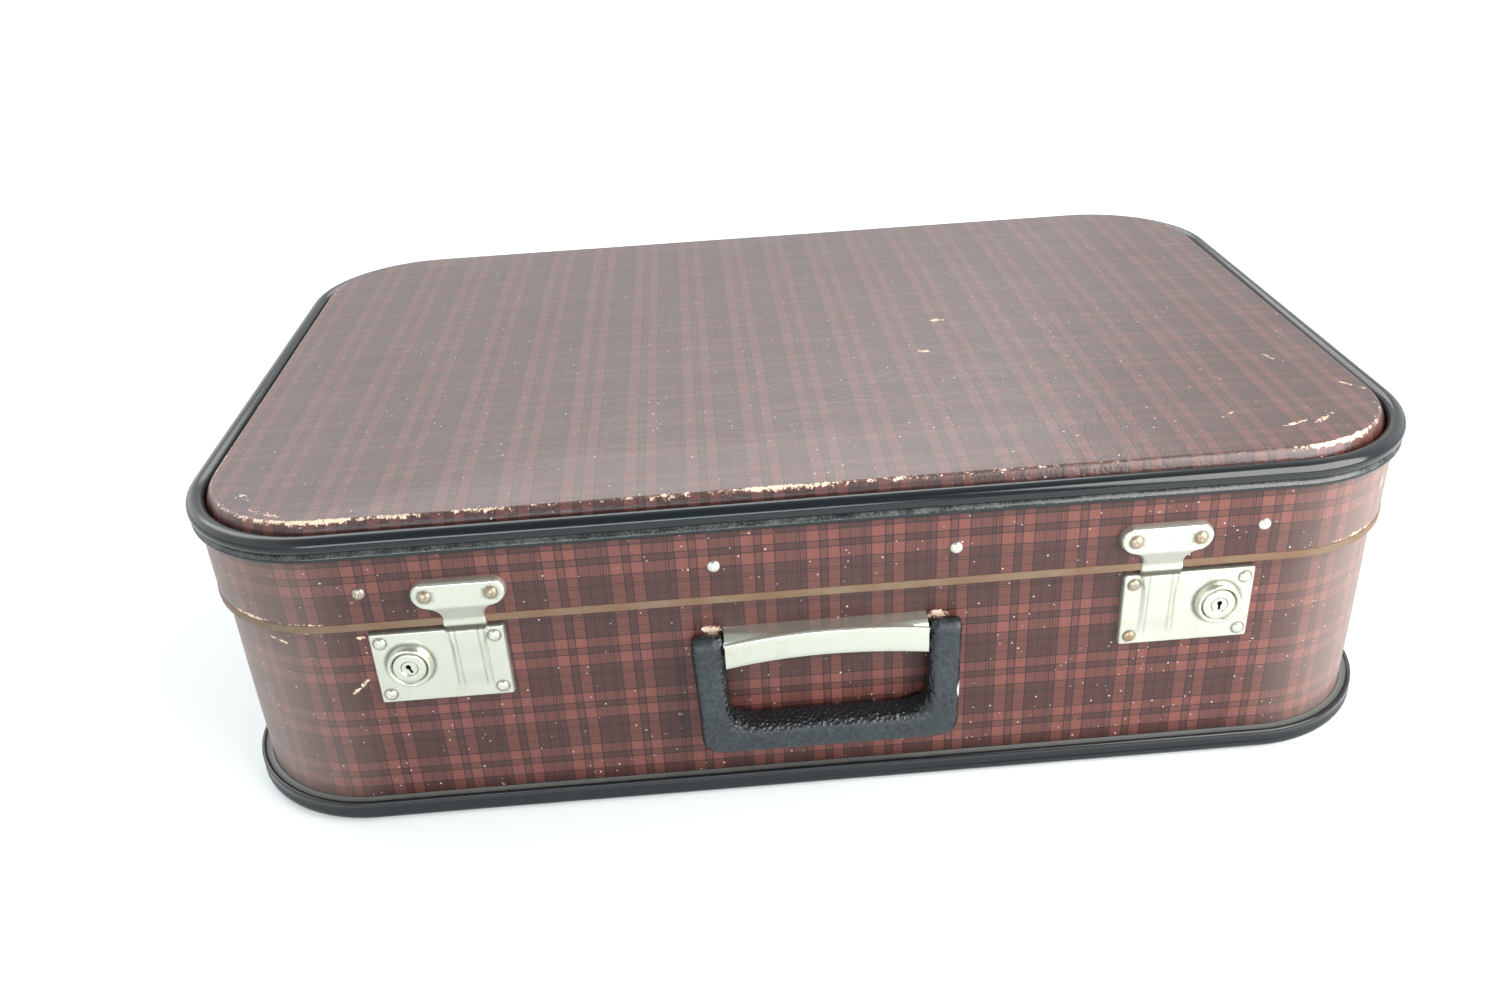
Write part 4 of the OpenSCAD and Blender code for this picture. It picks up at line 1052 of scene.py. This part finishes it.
    def hasp(self, s, side, middle, finish):
        """Pressed hasp: two round ends, a hollow neck and a tongue that goes behind the plate's pocket."""
        rows = list(self.hasp_rows())
        edge = [1.0, 0.985, 0.96, 0.925, 0.88]
        across = [-t for t in edge] + span(-0.8, 0.8, 14) + edge[::-1]
        vertices = []
        grime_and_shade = []
        for z, half in rows:
            back = 3.4 * min(max((126.0 - z) / 8.5, 0.0), 1.0) + 2.0 * soft(z, 114.4, 110.8)
            for t in across:
                x = half * t
                rim = min(half * (1 - abs(t)), self.hasp_top - z)
                drop = 2.6 * (1 - rounding(rim / 1.9)) * (1 - 0.75 * soft(z, 121, 114))
                dent = 0.08 * lump(x * 0.09, z * 0.09, s * 2.0, seed=11.0)
                vertices.append((s * middle + x, self.hasp_y + back + drop + dent, z))
                # Dirt and painted shade: round the rivets, on the slope that faces down, at the pocket's mouth
                # and on the rims
                rivet = math.hypot(abs(x) - self.end_x, z - self.end_z)
                slope = 0.30 * soft(z, 126.6, 124.5) * soft(z, 115.5, 118.5)
                mouth = 0.8 * soft(z, 114.2, 112.4)
                dirt_and_painted_light = 0.8 * soft(rivet, 4.6, 3.3) + slope + mouth + 0.25 * soft(rim, 0.5, 0.0)
                grime_and_shade.append(min(dirt_and_painted_light, 1.0))
        m = len(across)
        faces = quads(len(rows), m)
        start = len(vertices)
        loop = [i * m for i in range(len(rows) - 1, 0, -1)] + list(range(m))
        loop += [i * m + m - 1 for i in range(1, len(rows))]
        for i in loop:
            x, y, z = vertices[i]
            vertices.append((x, max(y + 1.2, self.lid_y) if z > 115 else y + 1.2, z))
            # The turned-down sides: dirt and painted shade
            grime_and_shade.append(0.5)
        faces += [(loop[k], loop[k + 1], start + k + 1, start + k) for k in range(len(loop) - 1)]
        made = make("hasp_pressed_" + side, vertices, faces, finish["nickel_plate"],
                    attributes={"grime_and_shade": grime_and_shade}, sharp=50.0)
        settle(made, "lid", "nickel", "hasp_" + side)

    def fixings(self, s, side, middle, finish):
        """The plate's nails, rusty ones among them, and the hasp's rivets."""
        plain = Pile()
        rusty = Pile()
        rivets = Pile()
        nail = dome(2.9, 1.6, 0.35)
        rivet = dome(3.3, 2.1, 0.25)
        for sx in (-1, 1):
            for sz in (-1, 1):
                x = s * middle + sx * self.nail_x
                z = self.plate_z + sz * self.nail_z
                pile = rusty if s > 0 and sx < 0 else plain
                pile.add(nail, (x, self.face_y - self.rise, z), turn=self.nail_turn * sx)
            rivets.add(rivet, (s * (middle - self.off) + sx * self.end_x, self.hasp_y + 0.2, self.end_z))
        made = plain.make("lock_nails_domed_" + side, finish["nickel_plate"])
        settle(made, "tray", "nickel", "lock_nails_" + side)
        if rusty.vertices:
            settle(rusty.make("lock_nails_rusty_" + side, finish["nickel_rusty"]), "tray", "nickel")
        made = rivets.make("hasp_rivets_domed_" + side, finish["nickel_rusty"])
        settle(made, "lid", "brass", "hasp_rivets_" + side)


class SUITCASE_OT_rivets(Shape):
    """Builds the domed rivets around the lid."""

    bl_idname = "suitcase.rivets"
    bl_label = "Lid rivets"

    height = halfway("lid_rivets", "z")
    wall_x = highest("lid_wall", "x")
    wall_y = highest("lid_wall", "y")
    inward = 5.4
    front_x = (-210, -47, 66, 211)
    back_x = (-225, -80, 80, 225)
    side_y = (-95, 0, 70)
    dull_x = -210

    def execute(self, context):
        _, _, finish = self.kit(context)
        places = [("front", x, -self.wall_y) for x in self.front_x]
        places += [("back", x, self.wall_y) for x in self.back_x]
        places += [("left", -self.wall_x, y) for y in self.side_y]
        places += [("right", self.wall_x, y) for y in self.side_y]
        head = dome(3.2, 1.9, 0.3)
        tail = lathe([(2.4, 0.0), (2.4, 0.45), (1.9, 0.7)], 20)
        plain = Pile()
        dull = Pile()
        for facing, x, y in places:
            place = Vector((x, y, self.height))
            (dull if x == self.dull_x else plain).add(head, place, facing)
            plain.add(tail, place - FACING[facing] @ Vector((0, 0, self.inward)), OPPOSITE[facing])
        settle(plain.make("lid_rivets_domed", finish["nickel_plate"]), "lid", "nickel", "lid_rivets")
        settle(dull.make("lid_rivet_dull", finish["nickel_rusty"]), "lid", "nickel")
        return {"FINISHED"}


class SUITCASE_OT_handle(Shape):
    """Builds the moulded handle and its bracket."""

    bl_idname = "suitcase.handle"
    bl_label = "Handle"

    axle_y = halfway("handle_axle", "y")
    axle_z = halfway("handle_axle", "z")
    axle_round = highest("handle_grip", "z") - axle_z
    low = lowest("handle_grip", "z")
    leg = 15.5
    leg_gap = 0.8
    taper = 2.0
    reach = 20.0
    bend = reach - leg / 2
    round_in = 10.0
    round_out = 9.0
    back_y = highest("handle_grip", "y")
    wall_y = highest("handle_bracket", "y")
    bracket_top = highest("handle_bracket", "z")
    bracket_low = lowest("handle_bracket", "z")
    front_y = lowest("handle_bracket", "y")
    front_low = 84.6
    front_round = 1.6
    sheet = 1.2
    ear_sheet = 1.6
    back_sheet = 1.15

    def execute(self, context):
        sizes, _, finish = self.kit(context)
        middle = sizes.handle_offset / MM
        half = sizes.handle_width / MM / 2
        self.grip(middle, half, finish)
        self.bracket(middle, half - self.leg - self.leg_gap, finish)
        return {"FINISHED"}

    def spine(self, half):
        """Middle line of the grip in x and z, from the left leg's top to the right's."""
        top = self.axle_z + self.axle_round
        x_top = half - self.leg / 2
        corner_z = self.low + self.leg / 2 + self.bend
        heights = [top - self.axle_round * (1 - math.cos(math.radians(a))) for a in span(0, 88, 12)]
        heights += span(self.axle_z - 1.5, corner_z, 16)
        left = [(self.taper * (top - z) / (top - corner_z) - x_top, z) for z in heights]
        cx = self.bend + self.taper - x_top
        left += arc(cx, corner_z, self.bend, 180, 270, 14)[1:]
        line = left + [(x, left[-1][1]) for x in span(cx, -cx, 30)[1:-1]]
        return line + [(-x, z) for x, z in reversed(left)]

    def fillet(self, x, z, half, nx, nz):
        """How far the grip's inner face stands in from its middle line's offset, in its inner corners."""
        inner = self.bend - self.leg / 2
        shift = self.round_in - inner
        along = z - self.low - self.leg / 2 - self.bend
        across = half - self.leg / 2 - self.taper - self.bend - abs(x)
        if along > 0 or across > 0:
            far = max(shift - max(along, across), 0.0)
            return self.round_in - math.sqrt(self.round_in ** 2 - far ** 2)
        lean = -shift * (abs(nx) + abs(nz))
        return inner - (lean + math.sqrt(lean ** 2 + self.round_in ** 2 - 2 * shift ** 2))

    def heel(self, x, z, half, nx, nz):
        """How far the grip's outer face stands out from its middle line's offset, in its outer corners."""
        if z >= self.low + self.reach or abs(x) <= half - self.leg / 2 - self.taper - self.bend:
            return 0.0
        shift = self.reach - self.round_out
        lean = shift * (abs(nx) + abs(nz))
        steep = max(abs(nx), abs(nz))
        if steep * math.hypot(self.reach, shift) >= self.reach:
            return self.reach / steep - self.reach
        return lean + math.sqrt(lean ** 2 + self.round_out ** 2 - 2 * shift ** 2) - self.reach

    def section(self, z):
        """The grip's half width, depth and middle in y at a height; round over the axle above it."""
        above = z - self.axle_z
        if above > 0:
            depth = 2 * math.sqrt(max(self.axle_round ** 2 - above ** 2, 0.04))
            narrow = 1.2 * (1 - math.sqrt(max(1 - (above / 5.5) ** 2, 0.0)))
            return self.leg / 2 - narrow, depth, self.axle_y
        depth = 10.8 + 5.2 * soft(z, self.axle_z - 4.0, 52.0)
        return self.leg / 2, depth, self.back_y - depth / 2

    def grip(self, middle, half, finish):
        """The moulded grip, swept along its middle line, with a squarer outer face than inner face."""
        line = self.spine(half)
        count = 44
        vertices = []
        dust_and_sheen = []
        for i, (x, z) in enumerate(line):
            a = line[max(i - 1, 0)]
            b = line[min(i + 1, len(line) - 1)]
            tx, tz = b[0] - a[0], b[1] - a[1]
            size = math.hypot(tx, tz)
            nx, nz = tz / size, -tx / size
            push = self.fillet(x, z, half, nx, nz)
            heel = self.heel(x, z, half, nx, nz)
            wide, depth, centre = self.section(z)
            for k in range(count):
                angle = 2 * math.pi * k / count
                c, w = math.cos(angle), math.sin(angle)
                power = 0.62 if c < 0 else 0.40
                ex = math.copysign(abs(c) ** power, c) * wide
                ey = math.copysign(abs(w) ** power, w) * depth / 2
                if c < 0:
                    ex -= (push + 1.6 * nz * nz * max(0.3 + w, 0.0)) * abs(c)
                else:
                    ex += heel * c ** power
                ex += 0.12 * lump(x * 0.05, z * 0.05, k * 0.2, seed=12.0)
                vertices.append((middle + x + nx * ex, centre + ey, z + nz * ex))
                # Marks the front face, away from the inner side, for dust and painted sheen
                dust_and_sheen.append(soft(-w, 0.55, 0.95) * soft(c, -0.75, -0.25))
        faces = quads(len(line), count, round_columns=True)
        faces.append(tuple(range(count)))
        faces.append(tuple(reversed(range(len(vertices) - count, len(vertices)))))
        made = make("handle_grip_moulded", vertices, faces, finish["handle_black"],
                    attributes={"dust_and_sheen": dust_and_sheen}, sharp=70.0)
        settle(made, "handle", "handle_plastic", "handle_grip")

    def bracket(self, middle, half, finish):
        """Folded sheet with an arched front, two ears and a flat back."""
        pile = Pile()
        pile.add(self.arch(middle, half), facing="up")
        ear = [(-193.1, 98.0), (-193.1, self.bracket_low), (-194.4, self.bracket_low), (-197.0, 86.5),
               (-202.2, 86.5), (-202.2, 92.0), (-199.0, 96.0)]
        for side in (-1, 1):
            face = [(middle + side * half, y, z) for y, z in ear[::-side]]
            pile.add(slab(face, (-side * self.ear_sheet, 0.0, 0.0)), facing="up")
        low, high, y = self.bracket_low, self.bracket_top - 0.1, self.wall_y - 0.05
        plate = [(middle + x, y, z) for x, z in ((-half, high), (half, high), (half, low), (-half, low))]
        pile.add(slab(plate, (0.0, -self.back_sheet, 0.0)), facing="up")
        made = pile.make("handle_bracket_folded", finish["nickel_plate"], 40.0)
        settle(made, "tray", "nickel", "handle_bracket")

    def arch(self, middle, half):
        """The bracket's bent sheet: level on top, folded over to a front that sags towards both ends."""
        columns = span(-half, half, 60)
        top, inner_top = self.bracket_top, self.bracket_top - self.sheet
        vertices = []
        for x in columns:
            t = x / half
            sag = (4.4 if t < 0 else 3.4) * t * t
            front_top = top - sag
            low = self.front_low - sag
            profile = [(self.wall_y, top), (-197.0, top - sag * 0.12), (-200.4, top - sag * 0.55)]
            profile += arc(self.front_y + self.front_round, front_top - self.front_round, self.front_round,
                           90, 180, 6)
            profile += [(self.front_y, z) for z in span(front_top - 3.0, low + 0.4, 6)]
            profile += [(-202.7, low), (-202.0, low), (-201.8, low + 0.5), (-201.8, front_top - 2.2),
                        (-200.6, front_top - 1.3), (-197.0, inner_top - sag * 0.12), (self.wall_y, inner_top)]
            for y, z in profile:
                vertices.append((middle + x, y + 0.06 * lump(x * 0.03, z * 0.02, seed=14.0), z))
        m = len(profile)
        faces = quads(len(columns), m, round_columns=True, flip=True)
        faces.append(tuple(reversed(range(m))))
        faces.append(tuple(range(len(vertices) - m, len(vertices))))
        return vertices, faces


class SUITCASE_OT_inside(Shape):
    """Finishes the solids that keep their own shape: linings, hinges, stays and lock works."""

    bl_idname = "suitcase.inside"
    bl_label = "Linings, hinges and stays"

    papers = ("tray_floor_lining", "tray_wall_lining", "lid_stop_band", "lid_top_lining", "lid_wall_lining")
    nickels = ("handle_rivets", "hinge_tray_rivets", "hinge_lid_rivets", "stay_lid_rivets",
               "stay_tray_rivets")
    nickel_pairs = ("hinge_tray_leaf_", "hinge_lid_leaf_")
    steels = ("handle_axle", "handle_backing_plate", "hinge_pins", "stay_lid_brackets", "stay_tray_brackets")
    steel_pairs = ("lock_case_", "lock_catch_", "button_spring_", "stay_arm_")

    def execute(self, context):
        _, _, finish = self.kit(context)
        for key, singles, pairs in (("lining_paper", self.papers, ()),
                                    ("nickel_plate", self.nickels, self.nickel_pairs),
                                    ("steel_plain", self.steels, self.steel_pairs)):
            for name in (*singles, *(pair + side for pair in pairs for side in SIDES)):
                dress(name, finish[key])
        return {"FINISHED"}


class SUITCASE_OT_stage(bpy.types.Operator):
    """Sets the floor, the light and the camera."""

    bl_idname = "suitcase.stage"
    bl_label = "Stage"
    bl_options = {"REGISTER"}

    eye = (-0.0441, -0.6983, 0.4455)
    turn, pitch, roll = (math.radians(angle) for angle in (1.805, 28.925, -3.466))
    lens = 30.679
    sensor = 36.0
    floor_half = 12.0

    # Name, place, aim, size, power and colour of each lamp
    lamps = (("back", (-0.55, 1.45, 1.80), (0.0, 0.0, 0.1), (3.4, 1.2), 38.0, (1.0, 1.0, 1.0)),
             ("right", (0.66, -0.66, 0.52), (0.1, -0.1, 0.1), (0.8, 0.8), 14.0, (1.0, 0.98, 0.96)),
             ("window", (-0.32, -1.7, 0.40), (0.0, -0.2, 0.1), (1.2, 0.42), 11.0, (0.80, 0.93, 1.0)))

    def execute(self, context):
        scene = context.scene
        self.camera(scene)
        self.floor(scene)
        self.world(scene)
        for lamp in self.lamps:
            self.lamp(scene, *lamp)
        scene.view_settings.view_transform = "Standard"
        return {"FINISHED"}

    def camera(self, scene):
        data = bpy.data.cameras.new("camera")
        data.sensor_width = self.sensor
        data.lens = self.lens
        data.clip_end = 60.0
        flat = math.cos(self.pitch)
        ahead = Vector((math.sin(self.turn) * flat, math.cos(self.turn) * flat, -math.sin(self.pitch)))
        level = Vector((math.cos(self.turn), -math.sin(self.turn), 0.0))
        upright = level.cross(ahead)
        right = level * math.cos(self.roll) + upright * math.sin(self.roll)
        up = upright * math.cos(self.roll) - level * math.sin(self.roll)
        matrix = Matrix((right, up, -ahead)).transposed().to_4x4()
        matrix.translation = Vector(self.eye)
        camera = bpy.data.objects.new("camera", data)
        camera.matrix_world = matrix
        scene.collection.objects.link(camera)
        scene.camera = camera

    def floor(self, scene):
        """A pale floor that keeps the shadow; the camera sees it white, and mirrors brighter near the case."""
        g = Graph("floor_white")
        place = g.position()
        x, y, _ = g.parts(place)
        away = (x * x + y * y) ** 0.5
        seen, mirrored = g.rays()
        near = g.ramp(away, 850.0, 450.0) * 0.42
        level = g.most(seen * (0.62 + g.ramp(away, 400.0, 1000.0) * 0.38), mirrored * near)
        colour = g.mix(g.noise(place, 0.002, 2.0), (0.60, 0.62, 0.62), (0.62, 0.64, 0.64))
        lift = g.mix(level, (0.0, 0.0, 0.0), (0.53, 0.57, 0.57))
        material = g.finish(Base_Color=colour, Roughness=0.9, Specular_IOR_Level=0.0, Emission_Color=lift,
                            Emission_Strength=1.0)
        far = self.floor_half
        mesh = bpy.data.meshes.new("floor")
        mesh.from_pydata([(-far, -far, 0), (far, -far, 0), (far, far, 0), (-far, far, 0)], [], [(0, 1, 2, 3)])
        mesh.materials.append(material)
        ground = bpy.data.objects.new("floor", mesh)
        scene.collection.objects.link(ground)

    def world(self, scene):
        """Soft light from the sides and the back, white to the camera and, behind the case, in mirrors."""
        g = Graph("studio", "worlds")
        x, y, _ = g.parts(g.node("ShaderNodeTexCoord", output="Generated"))
        seen, mirrored = g.rays()
        sides = g.ramp(x, 0.2, 0.9) * 0.55 + g.ramp(x, -0.1, -0.8) * 1.1
        level = 0.23 + g.ramp(y, -0.3, 0.6) * 0.54 + sides
        level = g.most(level, mirrored * g.ramp(y, 0.2, 0.8))
        level = level + seen * (1.0 - level)
        glow = g.node("ShaderNodeBackground", inputs={"Color": (0.98, 1.0, 1.0), "Strength": level})
        g.node("ShaderNodeOutputWorld", inputs={"Surface": glow})
        scene.world = g.owner

    def lamp(self, scene, name, place, aim, size, power, colour):
        data = bpy.data.lights.new(name, "AREA")
        data.shape = "RECTANGLE"
        data.size, data.size_y = size
        data.energy = power
        data.color = colour
        lamp = bpy.data.objects.new(name, data)
        lamp.location = place
        lamp.rotation_euler = (Vector(aim) - Vector(place)).to_track_quat("-Z", "Y").to_euler()
        scene.collection.objects.link(lamp)


class SUITCASE_PT_panel(bpy.types.Panel):
    """Sidebar with the sizes, the colours and the building steps."""

    bl_idname = "SUITCASE_PT_panel"
    bl_label = "Suitcase"
    bl_space_type = "VIEW_3D"
    bl_region_type = "UI"
    bl_category = "Suitcase"

    def draw(self, context):
        layout = self.layout
        for group in (context.scene.suitcase_sizes, context.scene.suitcase_colours):
            box = layout.box()
            for key in group.bl_rna.properties.keys():
                if key not in ("rna_type", "name"):
                    box.prop(group, key)
        for step in STEPS:
            layout.operator(step.bl_idname)


STEPS = (SUITCASE_OT_shell, SUITCASE_OT_bindings, SUITCASE_OT_locks, SUITCASE_OT_rivets, SUITCASE_OT_handle,
         SUITCASE_OT_inside, SUITCASE_OT_stage)
CLASSES = (SuitcaseSizes, SuitcaseColours, *STEPS, SUITCASE_PT_panel)


def register():
    for cls in CLASSES:
        bpy.utils.register_class(cls)
    bpy.types.Scene.suitcase_sizes = bpy.props.PointerProperty(type=SuitcaseSizes)
    bpy.types.Scene.suitcase_colours = bpy.props.PointerProperty(type=SuitcaseColours)


def unregister():
    del bpy.types.Scene.suitcase_colours
    del bpy.types.Scene.suitcase_sizes
    for cls in reversed(CLASSES):
        bpy.utils.unregister_class(cls)


def main():
    register()
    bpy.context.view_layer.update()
    bpy.ops.suitcase.shell()
    bpy.ops.suitcase.bindings()
    bpy.ops.suitcase.locks()
    bpy.ops.suitcase.rivets()
    bpy.ops.suitcase.handle()
    bpy.ops.suitcase.inside()
    bpy.ops.suitcase.stage()


if __name__ == "__main__":
    main()
